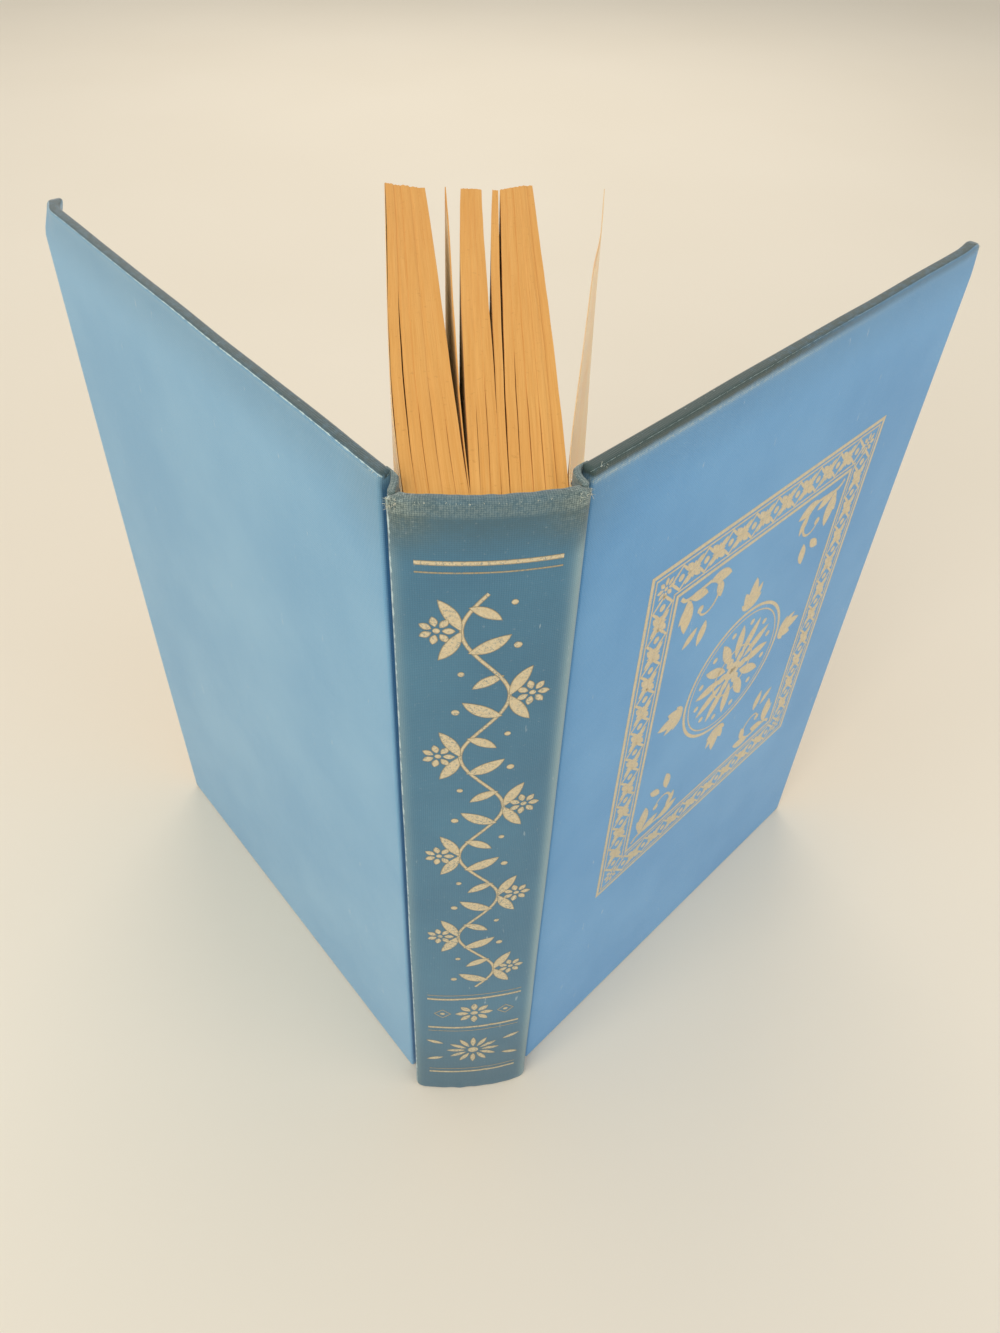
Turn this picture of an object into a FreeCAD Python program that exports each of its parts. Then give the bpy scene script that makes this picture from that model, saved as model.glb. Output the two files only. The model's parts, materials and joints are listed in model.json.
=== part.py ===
"""An open case-bound book, standing on its tail edges with both covers swung back.

Frame: millimetres, +Z up. The origin is the middle of the spine's tail edge. The spine faces -Y,
the pages reach towards +Y, the front cover is on the +X side and the back cover on the -X side.
"""
import FreeCAD, Part
import os
import Sketcher

V = FreeCAD.Vector

doc = FreeCAD.newDocument("open_book")
sheet = doc.addObject("Spreadsheet::Sheet", "sizes")

# Driving dimensions: name, value in millimetres or degrees, what it is
SIZES = [
    ("case_height", 216.0, "height of boards and spine over the cloth"),
    ("cloth", 0.45, "thickness of the book cloth"),
    ("turn_in", 15.0, "how far the cloth is turned in over the inside of the case"),
    ("spine_front", -2.0, "y of the middle of the spine's outer face"),
    ("spine_bulge", 1.5, "how far the middle of the spine stands out from its shoulders"),
    ("shoulder_radius", 3.0, "outer radius of the spine's two long edges"),
    ("inlay", 1.6, "thickness of the card that stiffens the spine"),
    ("hollow", 0.4, "air gap behind the spine, which is not glued to the pages"),
    ("lining", 0.3, "thickness of the paper that lines the backs of the pages"),
    ("mull", 0.2, "thickness of the open-weave cloth that holds the pages to the case"),
    ("mull_flap", 25.0, "how far the open-weave cloth reaches onto each board"),
    ("hinge_out", 1.55, "from the side of the pages to a cover's hinge line"),
    ("hinge_set", 3.4, "from the end of the spine's rounded edge to a hinge line, along y"),
    ("nose_radius", 1.1, "radius of the cloth roll that lies along a hinge line"),
    ("groove_depth", 0.9, "how deep a groove is pressed in from the side of the spine"),
    ("groove_set", 1.5, "from the end of the spine's rounded edge to the groove, along y"),
    ("joint_gap", 1.6, "from a hinge line to the spine-side edge of its cover"),
    ("cover_outset", 1.75, "from a hinge line to the outer face of its cover"),
    ("board", 1.9, "thickness of the boards"),
    ("cover_width", 140.0, "width of a cover over the cloth"),
    ("front_angle", 51.0, "how far the front cover is open, from closed"),
    ("back_angle", 33.0, "how far the back cover is open, from closed"),
    ("paper", 0.2, "thickness of the end papers"),
    ("pastedown_inset", 3.5, "from the cover's edges to the pasted-down end paper"),
    ("page_square", 3.0, "from the pages to the head and tail of the case"),
    ("pages", 27.3, "thickness of all pages at the spine"),
    ("side_gap", 0.35, "from the side of the pages to the inside of the case"),
    ("pages_root", 3.6, "from the backs of the pages to where they start to fan"),
    ("swell", 0.7, "how far the outer pages bow outwards near the spine"),
    ("swell_set", 28.6, "from the backs of the pages to the widest bow"),
    ("back_bundle_root", 10.7, "thickness of the back bundle of pages at its root"),
    ("back_bundle_tip", 10.0, "thickness of the back bundle at the fore-edge"),
    ("back_lean", 1.35, "how far the last page's fore-edge leans in from its root"),
    ("single_leaf", 0.3, "thickness of the leaf that stands alone"),
    ("single_leaf_set", 12.6, "from the backs of the pages to where the single leaf stands free"),
    ("leaf_gap_tip", 5.2, "gap between the back bundle and the single leaf at the fore-edge"),
    ("middle_set", 7.6, "from the backs of the pages to where the middle bundle stands free"),
    ("middle_gap_tip", 3.7, "gap between the single leaf and the middle bundle at the fore-edge"),
    ("middle_bundle_tip", 5.2, "thickness of the middle bundle at the fore-edge"),
    ("thin_set", 55.1, "from the backs of the pages to where the thin bundle stands free"),
    ("thin_in", 7.25, "how far inside the first page's root that point lies"),
    ("thin_gap_tip", 2.7, "gap between the middle and thin bundles at the fore-edge"),
    ("thin_bundle_tip", 1.5, "thickness of the thin bundle at the fore-edge"),
    ("front_set", 24.8, "from the backs of the pages to where the front bundle stands free"),
    ("front_in", 7.95, "how far inside the first page's root that point lies"),
    ("front_gap_tip", 0.5, "gap between the thin and front bundles at the fore-edge"),
    ("front_bundle_tip", 8.8, "thickness of the front bundle at the fore-edge"),
    ("page_width", 135.6, "from the backs of the pages to the deepest part of the fore-edge"),
    ("back_rise", 5.4, "how far the last page reaches past that deepest part"),
    ("back_inner_rise", 1.0, "the same for the inner side of the back bundle"),
    ("leaf_rise", 1.6, "the same for the single leaf"),
    ("middle_rise", 0.8, "the same for the back side of the middle bundle"),
    ("front_rise", 3.1, "the same for the first page"),
    ("flyleaf_set", 8.9, "from the backs of the pages to where the front flyleaf turns out"),
    ("flyleaf_out", 0.85, "how far it stands off the pages' side there"),
    ("flyleaf_lean", 30.65, "how far its fore-edge leans out from the pages' side"),
]
for row, (alias, value, note) in enumerate(SIZES, start=1):
    sheet.set(f"A{row}", str(value))
    sheet.setAlias(f"A{row}", alias)
    sheet.set(f"B{row}", note)
doc.recompute()


def size(expression):
    """The value of an expression over the sheet's names."""
    return float(sheet.evalExpression(expression))


# Lines and levels that several pieces share, as expressions over the sheet
RIM = "(sizes.inlay + 2 * sizes.cloth)"
PAGES_SIDE = "(sizes.pages / 2)"
SPINE_SIDE = f"({PAGES_SIDE} + sizes.side_gap + {RIM})"
SHOULDER_X = f"({SPINE_SIDE} - sizes.shoulder_radius)"
SHOULDER_FRONT = "(sizes.spine_front + sizes.spine_bulge)"
SHOULDER_Y = f"({SHOULDER_FRONT} + sizes.shoulder_radius)"
LINING_FRONT = f"(sizes.spine_front + {RIM} + sizes.hollow)"
MULL_FRONT = f"({LINING_FRONT} + sizes.lining)"
PAGES_FRONT = f"({MULL_FRONT} + sizes.mull)"
PAGES_ROOT_Y = f"({PAGES_FRONT} + sizes.spine_bulge + sizes.pages_root)"
SWELL_Y = f"({PAGES_FRONT} + sizes.swell_set)"
FORE_EDGE_Y = f"({PAGES_FRONT} + sizes.page_width)"
HINGE_X = f"({PAGES_SIDE} + sizes.hinge_out)"
HINGE_Y = f"({SHOULDER_Y} + sizes.hinge_set)"
WINDOW_HEIGHT = "(sizes.case_height - 2 * sizes.turn_in)"
MIRRORED = -1
STRAIGHT = 1


def signed(side, expression):
    """The expression, turned to the back cover's side when side is MIRRORED."""
    return expression if side == STRAIGHT else f"-({expression})"


def arc_through(first, via, last):
    """The arc from first to last through via, and whether it runs counter-clockwise."""
    turn = (via - first).cross(last - via).z
    centre = Part.Arc(first, via, last).toShape().Curve.Center
    radius = (first - centre).Length
    circle = Part.Circle(centre, V(0, 0, 1), radius)
    angle = {name: circle.parameter(point) for name, point in (("first", first), ("last", last))}
    start, end = ("first", "last") if turn > 0 else ("last", "first")
    return Part.ArcOfCircle(circle, angle[start], angle[end]), turn > 0


def pin(sketch, geometry, position, point, corner):
    """Holds a point of the sketch at the two expressions of corner."""
    for kind, value, expression in (
        ("DistanceX", point.x, corner[0]),
        ("DistanceY", point.y, corner[1]),
    ):
        index = sketch.addConstraint(Sketcher.Constraint(kind, -1, 1, geometry, position, value))
        sketch.setExpression(f"Constraints[{index}]", expression)


def outline(body, name, corners, level="0"):
    """A closed outline on the body's XY plane, lifted to level.

    Each corner is a pair of expressions. A third item, a pair as well, makes the way to the
    next corner an arc through that point.
    """
    plane = next(f for f in body.Origin.OriginFeatures if f.Role == "XY_Plane")
    sketch = body.newObject("Sketcher::SketchObject", name)
    sketch.AttachmentSupport = [(plane, "")]
    sketch.MapMode = "FlatFace"
    sketch.setExpression("AttachmentOffset.Base.z", level)
    points = [V(size(corner[0]), size(corner[1]), 0) for corner in corners]
    ends = []
    for i, corner in enumerate(corners):
        first, last = points[i], points[(i + 1) % len(points)]
        if len(corner) == 3:
            via = V(size(corner[2][0]), size(corner[2][1]), 0)
            arc, forwards = arc_through(first, via, last)
            edge = sketch.addGeometry(arc, False)
            through = sketch.addGeometry(Part.Point(via), True)
            pin(sketch, through, 1, via, corner[2])
            sketch.addConstraint(Sketcher.Constraint("PointOnObject", through, 1, edge))
            ends.append((edge, 1, 2) if forwards else (edge, 2, 1))
        else:
            ends.append((sketch.addGeometry(Part.LineSegment(first, last), False), 1, 2))
    for i, (edge, start, _) in enumerate(ends):
        before, _, end = ends[i - 1]
        sketch.addConstraint(Sketcher.Constraint("Coincident", before, end, edge, start))
        pin(sketch, edge, start, points[i], corners[i])
    return sketch


def pad(label, corners, height, level="0"):
    """A body made by raising an outline from level by height."""
    name = label.replace(" ", "_")
    body = doc.addObject("PartDesign::Body", name)
    body.Label = label
    feature = body.newObject("PartDesign::Pad", name + "_pad")
    feature.Profile = outline(body, name + "_outline", corners, level)
    feature.setExpression("Length", height)
    doc.recompute()
    return body


def pocket(body, name, corners, height, level):
    """Cuts an outline out of the body, from level upwards by height."""
    before = body.Shape.Volume
    feature = body.newObject("PartDesign::Pocket", name)
    feature.Profile = outline(body, name + "_outline", corners, level)
    feature.Reversed = True
    feature.setExpression("Length", height)
    doc.recompute()
    if body.Shape.Volume >= before:
        raise RuntimeError(name + " cuts nothing")


def front_corners(offset, forwards=True):
    """The spine's curved face and its two rounded shoulders, offset inwards.

    Runs from the back cover's side to the front cover's, or the other way.
    """
    radius = f"(sizes.shoulder_radius - {offset})"
    leg = f"{radius} * sqrt(0.5)"
    side_x = f"{SHOULDER_X} + {radius}"
    via_x = f"{SHOULDER_X} + {leg}"
    via_y = f"{SHOULDER_Y} - {leg}"
    face_y = f"{SHOULDER_FRONT} + {offset}"
    near, far = (MIRRORED, STRAIGHT) if forwards else (STRAIGHT, MIRRORED)
    return [
        (signed(near, side_x), SHOULDER_Y, (signed(near, via_x), via_y)),
        (signed(near, SHOULDER_X), face_y, ("0", f"sizes.spine_front + {offset}")),
        (signed(far, SHOULDER_X), face_y, (signed(far, via_x), via_y)),
        (signed(far, side_x), SHOULDER_Y),
    ]


def nose_corners(side, inset, outwards):
    """The end of the joint cloth: its round roll on the hinge line and the groove's bottom."""
    radius = f"(sizes.nose_radius - {inset})"
    inner = signed(side, f"{HINGE_X} - {radius}")
    outer = signed(side, f"{HINGE_X} + {radius}")
    top = (signed(side, HINGE_X), f"{HINGE_Y} + {radius}")
    groove_x = signed(side, f"{SPINE_SIDE} - sizes.groove_depth - {inset}")
    groove = (groove_x, f"{SHOULDER_Y} + sizes.groove_set")
    if outwards:
        return [(inner, HINGE_Y, top), (outer, HINGE_Y), groove]
    return [groove, (outer, HINGE_Y, top), (inner, HINGE_Y)]


def case_loop(inset):
    """The spine's cloth seen from above, shrunk by inset on all sides."""
    return (
        nose_corners(MIRRORED, inset, outwards=True)
        + front_corners(inset)
        + nose_corners(STRAIGHT, inset, outwards=False)
        + front_corners(f"({RIM} - {inset})", forwards=False)
    )


# Spine: a card inlay wrapped in the case's cloth
pad(
    "spine_inlay",
    front_corners("sizes.cloth") + front_corners("(sizes.cloth + sizes.inlay)", forwards=False),
    "sizes.case_height - 2 * sizes.cloth",
    "sizes.cloth",
)

spine_cloth = pad("spine_cloth", case_loop("0"), "sizes.case_height")
pocket(
    spine_cloth,
    "inlay_pocket",
    case_loop("sizes.cloth"),
    "sizes.case_height - 2 * sizes.cloth",
    "sizes.cloth",
)
past_nose = f"{HINGE_Y} + 2 * sizes.nose_radius"
pocket(
    spine_cloth,
    "between_turn_ins",
    [
        (signed(MIRRORED, HINGE_X), past_nose),
        (signed(MIRRORED, HINGE_X), SHOULDER_Y),
        *front_corners("(sizes.cloth + sizes.inlay)"),
        (HINGE_X, SHOULDER_Y),
        (HINGE_X, past_nose),
    ],
    WINDOW_HEIGHT,
    "sizes.turn_in",
)


def back_sheet(label, front, thickness, height, level):
    """A sheet glued over the backs of the pages, curved as they are."""
    front_side = f"{front} + sizes.spine_bulge"
    rear, rear_side = f"{front} + {thickness}", f"{front_side} + {thickness}"
    left = signed(MIRRORED, PAGES_SIDE)
    return pad(
        label,
        [
            (left, front_side, ("0", front)),
            (PAGES_SIDE, front_side),
            (PAGES_SIDE, rear_side, ("0", rear)),
            (left, rear_side),
        ],
        height,
        level,
    )


# Backs of the pages: open-weave cloth glued on first, then a paper lining
PAGE_HEIGHT = "(sizes.case_height - 2 * sizes.page_square)"
back_sheet("spine_lining", LINING_FRONT, "sizes.lining", PAGE_HEIGHT, "sizes.page_square")
back_sheet("spine_mull", MULL_FRONT, "sizes.mull", WINDOW_HEIGHT, "sizes.turn_in")


def running_total(start, steps):
    """Expressions for start, start + first step, and so on."""
    totals = [start]
    for step in steps:
        totals.append(f"{totals[-1]} + sizes.{step}")
    return totals


# Text block: every page in one piece, fanned into bundles at the fore-edge
(BACK_OUTER, BACK_INNER, LEAF_BACK, LEAF_FRONT, MIDDLE_BACK, MIDDLE_FRONT,
 THIN_BACK, THIN_FRONT, FRONT_INNER, FRONT_OUTER) = running_total(
    f"sizes.back_lean - {PAGES_SIDE}",
    ["back_bundle_tip", "leaf_gap_tip", "single_leaf", "middle_gap_tip", "middle_bundle_tip",
     "thin_gap_tip", "thin_bundle_tip", "front_gap_tip", "front_bundle_tip"],
)
LEAF_ROOT_X = f"(sizes.back_bundle_root - {PAGES_SIDE})"
LEAF_TIP_Y = f"{FORE_EDGE_Y} + sizes.leaf_rise"
PAGES_BACK_CORNER_Y = f"{PAGES_FRONT} + sizes.spine_bulge"
FRONT_SWELL_X = (
    f"{PAGES_SIDE} + ({FRONT_OUTER} - {PAGES_SIDE}) * ({SWELL_Y} - {PAGES_ROOT_Y})"
    f" / ({FORE_EDGE_Y} - {PAGES_ROOT_Y}) + sizes.swell / 2"
)
LEFT_SIDE = [
    (BACK_OUTER, f"{FORE_EDGE_Y} + sizes.back_rise"),
    (f"-{PAGES_SIDE} - sizes.swell", SWELL_Y),
    (f"-{PAGES_SIDE}", PAGES_ROOT_Y),
    (f"-{PAGES_SIDE}", PAGES_BACK_CORNER_Y),
]
BACKS = [
    (*LEFT_SIDE[-1], ("0", PAGES_FRONT)),
    (PAGES_SIDE, PAGES_BACK_CORNER_Y),
]
FRONT_BUNDLE = [
    (PAGES_SIDE, PAGES_ROOT_Y),
    (FRONT_SWELL_X, SWELL_Y),
    (FRONT_OUTER, f"{FORE_EDGE_Y} + sizes.front_rise"),
    (FRONT_INNER, FORE_EDGE_Y),
    (f"{PAGES_SIDE} - sizes.front_in", f"{PAGES_FRONT} + sizes.front_set"),
]
THIN_BUNDLE = [
    (THIN_FRONT, FORE_EDGE_Y),
    (THIN_BACK, FORE_EDGE_Y),
    (f"{PAGES_SIDE} - sizes.thin_in", f"{PAGES_FRONT} + sizes.thin_set"),
]
MIDDLE_BUNDLE = [
    (MIDDLE_FRONT, FORE_EDGE_Y),
    (MIDDLE_BACK, f"{FORE_EDGE_Y} + sizes.middle_rise"),
    (f"{LEAF_ROOT_X} + sizes.single_leaf", f"{PAGES_FRONT} + sizes.middle_set"),
]
SINGLE_LEAF = [
    (LEAF_FRONT, LEAF_TIP_Y),
    (LEAF_BACK, LEAF_TIP_Y),
    (LEAF_ROOT_X, f"{PAGES_FRONT} + sizes.single_leaf_set"),
]
BACK_BUNDLE = [(BACK_INNER, f"{FORE_EDGE_Y} + sizes.back_inner_rise"), *LEFT_SIDE[:-1]]
pad(
    "text_block",
    BACKS + FRONT_BUNDLE + THIN_BUNDLE + MIDDLE_BUNDLE + SINGLE_LEAF + BACK_BUNDLE,
    PAGE_HEIGHT,
    "sizes.page_square",
)

# Free end papers: one lies on the last page, the other stands off the first page
pad(
    "back_flyleaf",
    LEFT_SIDE + [(f"{x} - sizes.paper", y) for x, y in reversed(LEFT_SIDE)],
    PAGE_HEIGHT,
    "sizes.page_square",
)
FRONT_SIDE = [
    (PAGES_SIDE, PAGES_BACK_CORNER_Y),
    (PAGES_SIDE, PAGES_ROOT_Y),
    (f"{PAGES_SIDE} + sizes.flyleaf_out", f"{PAGES_FRONT} + sizes.flyleaf_set"),
    (f"{PAGES_SIDE} + sizes.flyleaf_lean", FORE_EDGE_Y),
]
pad(
    "front_flyleaf",
    FRONT_SIDE + [(f"{x} + sizes.paper", y) for x, y in reversed(FRONT_SIDE)],
    PAGE_HEIGHT,
    "sizes.page_square",
)

# Covers, each built about its hinge line: X runs to the fore-edge, Y towards the pages, Z = 0
# is half way up. Levels in Y, from the outer face inwards:
OUTER_FACE = "-sizes.cover_outset"
BOARD_OUTER = f"({OUTER_FACE} + sizes.cloth)"
BOARD_INNER = f"({BOARD_OUTER} + sizes.board)"
TURN_IN_TOP = f"({BOARD_INNER} + sizes.cloth)"
SPINE_EDGE = "sizes.joint_gap"
FORE_EDGE = "(sizes.joint_gap + sizes.cover_width)"
WINDOW_EDGE = f"({FORE_EDGE} - sizes.turn_in)"
FLAP_EDGE = f"({SPINE_EDGE} + sizes.mull_flap)"
PAST = "1"


def hinge_frame(side):
    """The placement of a cover's own axes, at the angle that the cover is open."""
    if side == STRAIGHT:
        turn = "rotation(vector(0; 0; 1); 90 - sizes.front_angle)"
    else:
        half = "(90 + sizes.back_angle) / 2"
        turn = f"rotation(vector(cos({half}); sin({half}); 0); 180)"
    return (
        f"placement(vector({signed(side, HINGE_X)}; {HINGE_Y}; sizes.case_height / 2); {turn})"
    )


def slab(name, x_range, y_range, height, frame=None):
    """A box between two expressions in X and in Y, centred in Z, in a cover's axes."""
    box = doc.addObject("Part::Box", name)
    box.setExpression("Length", f"{x_range[1]} - ({x_range[0]})")
    box.setExpression("Width", f"{y_range[1]} - ({y_range[0]})")
    box.setExpression("Height", height)
    corner = f"vector({x_range[0]}; {y_range[0]}; -({height}) / 2)"
    place = f"placement({corner}; rotation(vector(0; 0; 1); 0))"
    box.setExpression("Placement", f"{frame} * {place}" if frame else place)
    return box


def cut(name, base, tools, frame=None):
    """base with all tools cut away."""
    tool = tools[0]
    if len(tools) > 1:
        tool = doc.addObject("Part::MultiFuse", name + "_tools")
        tool.Shapes = tools
    result = doc.addObject("Part::Cut", name)
    result.Base, result.Tool = base, tool
    if frame:
        result.setExpression("Placement", frame)
    return result


def cover_board(name, frame=None):
    return slab(
        name,
        (f"{SPINE_EDGE} + sizes.cloth", f"{FORE_EDGE} - sizes.cloth"),
        (BOARD_OUTER, BOARD_INNER),
        "sizes.case_height - 2 * sizes.cloth",
        frame,
    )


def cover_cloth(name, frame):
    """Cloth over the outside of a board and all its edges, turned in on three sides."""
    skin = slab(
        name + "_skin", (SPINE_EDGE, FORE_EDGE), (OUTER_FACE, TURN_IN_TOP), "sizes.case_height"
    )
    window = slab(
        name + "_window",
        (f"{SPINE_EDGE} - {PAST}", WINDOW_EDGE),
        (BOARD_INNER, f"{TURN_IN_TOP} + {PAST}"),
        WINDOW_HEIGHT,
    )
    return cut(name, skin, [cover_board(name + "_board_space"), window], frame)


def mull_flap(name, frame):
    return slab(
        name,
        (SPINE_EDGE, FLAP_EDGE),
        (BOARD_INNER, f"{BOARD_INNER} + sizes.mull"),
        WINDOW_HEIGHT,
        frame,
    )


def pastedown(name, frame):
    """End paper over turn-ins, open-weave cloth and bare board, following their steps."""
    under, over = f"{BOARD_INNER} - {PAST}", f"{TURN_IN_TOP} + sizes.paper + {PAST}"
    sheet_height = "(sizes.case_height - 2 * sizes.pastedown_inset)"
    before, after = f"{SPINE_EDGE} - {PAST}", f"{FORE_EDGE} + {PAST}"
    blank = slab(
        name + "_blank",
        (SPINE_EDGE, f"{FORE_EDGE} - sizes.pastedown_inset"),
        (BOARD_INNER, f"{TURN_IN_TOP} + sizes.paper"),
        sheet_height,
    )
    margin = cut(
        name + "_margin",
        slab(name + "_margin_all", (before, after), (under, TURN_IN_TOP), "sizes.case_height"),
        [slab(name + "_margin_window", (f"{before} - {PAST}", WINDOW_EDGE), (under, over),
              WINDOW_HEIGHT)],
    )
    flap = slab(
        name + "_flap", (before, FLAP_EDGE), (under, f"{BOARD_INNER} + sizes.mull"), WINDOW_HEIGHT
    )
    sunk_height = f"({WINDOW_HEIGHT} - 2 * sizes.paper)"
    over_board = slab(
        name + "_over_board",
        (f"{FLAP_EDGE} + sizes.paper", f"{WINDOW_EDGE} - sizes.paper"),
        (f"{BOARD_INNER} + sizes.paper", over),
        sunk_height,
    )
    over_flap = slab(
        name + "_over_flap",
        (before, f"{FLAP_EDGE} + sizes.paper"),
        (f"{BOARD_INNER} + sizes.mull + sizes.paper", over),
        sunk_height,
    )
    return cut(name, blank, [margin, flap, over_board, over_flap], frame)


for cover, side in (("front", STRAIGHT), ("back", MIRRORED)):
    cover_board(cover + "_board", hinge_frame(side))
    cover_cloth(cover + "_cover_cloth", hinge_frame(side))
    mull_flap(cover + "_mull_flap", hinge_frame(side))
    pastedown(cover + "_pastedown", hinge_frame(side))

doc.recompute()

# Every sub-part, by label
NODES = [
    "text_block",
    "spine_lining",
    "spine_mull",
    "spine_inlay",
    "spine_cloth",
    "front_flyleaf",
    "back_flyleaf",
    "front_board",
    "front_cover_cloth",
    "front_mull_flap",
    "front_pastedown",
    "back_board",
    "back_cover_cloth",
    "back_mull_flap",
    "back_pastedown",
]

for item in doc.Objects:
    if {"Invalid", "Error"} & set(item.State):
        raise RuntimeError(f"{item.Label} failed: {item.State}")

os.makedirs("parts", exist_ok=True)
for label in NODES:
    shape = doc.getObjectsByLabel(label)[0].Shape
    if shape.isNull() or not shape.isValid() or len(shape.Solids) != 1:
        raise RuntimeError(f"{label} is not one valid solid")
    shape.exportStep(f"parts/{label}.step")
    box = shape.BoundBox
    print(f"{label}: {shape.Volume:.1f} mm3, x {box.XMin:.2f}..{box.XMax:.2f}, "
          f"y {box.YMin:.2f}..{box.YMax:.2f}, z {box.ZMin:.2f}..{box.ZMax:.2f}")
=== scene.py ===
"""An open cloth-bound book that stands on its tail edges with both covers swung back.

Sizes are in millimetres and turn into metres when a mesh is made. The spine faces -Y, the pages
reach towards +Y, the front cover is on the +X side and the back cover on the -X side.
"""
import json
import bpy
import numpy as np
from mathutils import Matrix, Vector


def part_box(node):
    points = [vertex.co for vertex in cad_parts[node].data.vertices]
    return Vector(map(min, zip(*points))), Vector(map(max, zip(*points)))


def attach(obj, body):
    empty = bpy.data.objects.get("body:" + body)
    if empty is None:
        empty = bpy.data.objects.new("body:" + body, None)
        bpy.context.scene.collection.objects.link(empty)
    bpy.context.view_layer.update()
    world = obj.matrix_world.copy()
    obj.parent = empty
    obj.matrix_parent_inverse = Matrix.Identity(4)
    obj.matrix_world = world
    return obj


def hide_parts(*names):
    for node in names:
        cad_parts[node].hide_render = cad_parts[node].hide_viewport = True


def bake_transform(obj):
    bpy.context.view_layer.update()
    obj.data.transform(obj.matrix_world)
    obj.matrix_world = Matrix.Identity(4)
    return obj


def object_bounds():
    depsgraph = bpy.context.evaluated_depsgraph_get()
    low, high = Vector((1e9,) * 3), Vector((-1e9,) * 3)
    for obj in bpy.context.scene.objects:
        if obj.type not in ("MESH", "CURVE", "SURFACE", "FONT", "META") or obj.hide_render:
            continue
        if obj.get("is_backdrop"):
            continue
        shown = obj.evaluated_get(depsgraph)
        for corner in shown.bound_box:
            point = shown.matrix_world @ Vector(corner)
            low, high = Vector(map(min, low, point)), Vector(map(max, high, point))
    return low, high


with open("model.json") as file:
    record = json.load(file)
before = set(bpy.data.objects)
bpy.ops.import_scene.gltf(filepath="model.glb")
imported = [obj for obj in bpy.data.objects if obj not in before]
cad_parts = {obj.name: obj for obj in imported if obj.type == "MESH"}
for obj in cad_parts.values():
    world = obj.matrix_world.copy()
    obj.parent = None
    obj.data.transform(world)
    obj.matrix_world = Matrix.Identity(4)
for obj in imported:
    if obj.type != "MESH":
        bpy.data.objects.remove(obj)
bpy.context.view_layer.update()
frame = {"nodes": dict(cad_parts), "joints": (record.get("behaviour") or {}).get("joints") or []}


# ---- Pages ---------------------------------------------------------------------------------
# All the leaves of the book, in sections of folded sheets that are sewn through their folds and
# glued at the back. The paper is cream inside and tanned on its trimmed edges.
MM = 0.001
PAGE_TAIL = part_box("text_block")[0].z / MM
PAGE_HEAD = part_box("text_block")[1].z / MM
PAGE_DEPTH = 136.0
SECTION_ROUNDING = 0.06
PRESSED = 0.14
BACK_HALF_WIDTH = 13.65
BACK_DEPTH = 1.5
BACK_CURVE = 1.5
FOLD_CURVE = 0.35
RAGGED_FORE_EDGE = 0.3
RAGGED_HEAD = 0.11
BUNDLE_STEP = 0.12
PAGE_WAVE = 0.05
PAGE_SWAY = 0.35
# The two sides of each bundle: x at these three depths and at the fore-edge, then its depth.
# The cracks between a bundle's sections follow: how wide each opens, and how deep it reaches.
# The last number is how far the bundle's fore-edge leans to the front at the tail.
LINE_DEPTHS = (5.0, 35.0, 75.0)
CLOSED = (0.0, 30.0)
PAGE_BUNDLES = (
    ((-13.60, -14.25, -13.75, -12.3, 142.0), (-3.05, -2.95, -2.6, -2.3, 138.0),
     ((0.24, 98.0), (0.06, 44.0), (0.07, 56.0), (0.06, 36.0)), 0.0),
    ((-3.0, -2.15, -0.25, 2.85, 138.6), (-2.8, -1.9, 0.0, 3.1, 138.6), (), 0.3),
    ((-2.75, -0.95, 1.65, 6.8, 137.8), (2.3, 4.65, 7.45, 12.1, 137.1),
     ((0.08, 42.0), (0.08, 50.0)), 1.3),
    ((2.35, 4.75, 8.2, 14.8, 136.7), (3.7, 6.25, 10.05, 16.3, 136.7), (), 2.8),
    ((3.8, 6.5, 10.5, 16.8, 137.0), (13.5, 16.5, 20.1, 25.6, 140.1),
     ((0.14, 66.0), (0.08, 48.0), (0.09, 40.0), (0.06, 32.0)), 3.4),
)


def linear(hex_colour):
    """A colour of six hex digits as linear red, green, blue and alpha."""
    part = np.array([int(hex_colour[i:i + 2], 16) for i in (0, 2, 4)]) / 255
    part = np.where(part <= 0.04045, part / 12.92, ((part + 0.055) / 1.055) ** 2.4)
    return (*part.tolist(), 1.0)


def ease(value, low, high):
    """0 up to low, 1 from high, and 3t^2 - 2t^3 between them."""
    share = np.clip((value - low) / (high - low), 0, 1)
    return share * share * (3 - 2 * share)


def uneven(place, spacing, seed):
    """A random line from -1 to 1: random heights at knots a spacing apart, eased between them."""
    knots = np.random.default_rng(seed).uniform(-1, 1, 512)
    place = np.asarray(place, float) / spacing + 256
    left = np.floor(place).astype(int)
    share = ease(place - left, 0, 1)
    return knots[left % 512] * (1 - share) + knots[(left + 1) % 512] * share


def stations(low, high, rounding, count, marks=()):
    """Places along one side of a slab: some on each rounded edge, count between, and marks."""
    edge = rounding * (1 - np.tan(np.radians([45.0, 30.0, 15.0])))
    middle = np.linspace(low + rounding, high - rounding, count)
    return np.unique(np.concatenate([low + edge, middle, marks, high - edge]).round(5))


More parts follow.
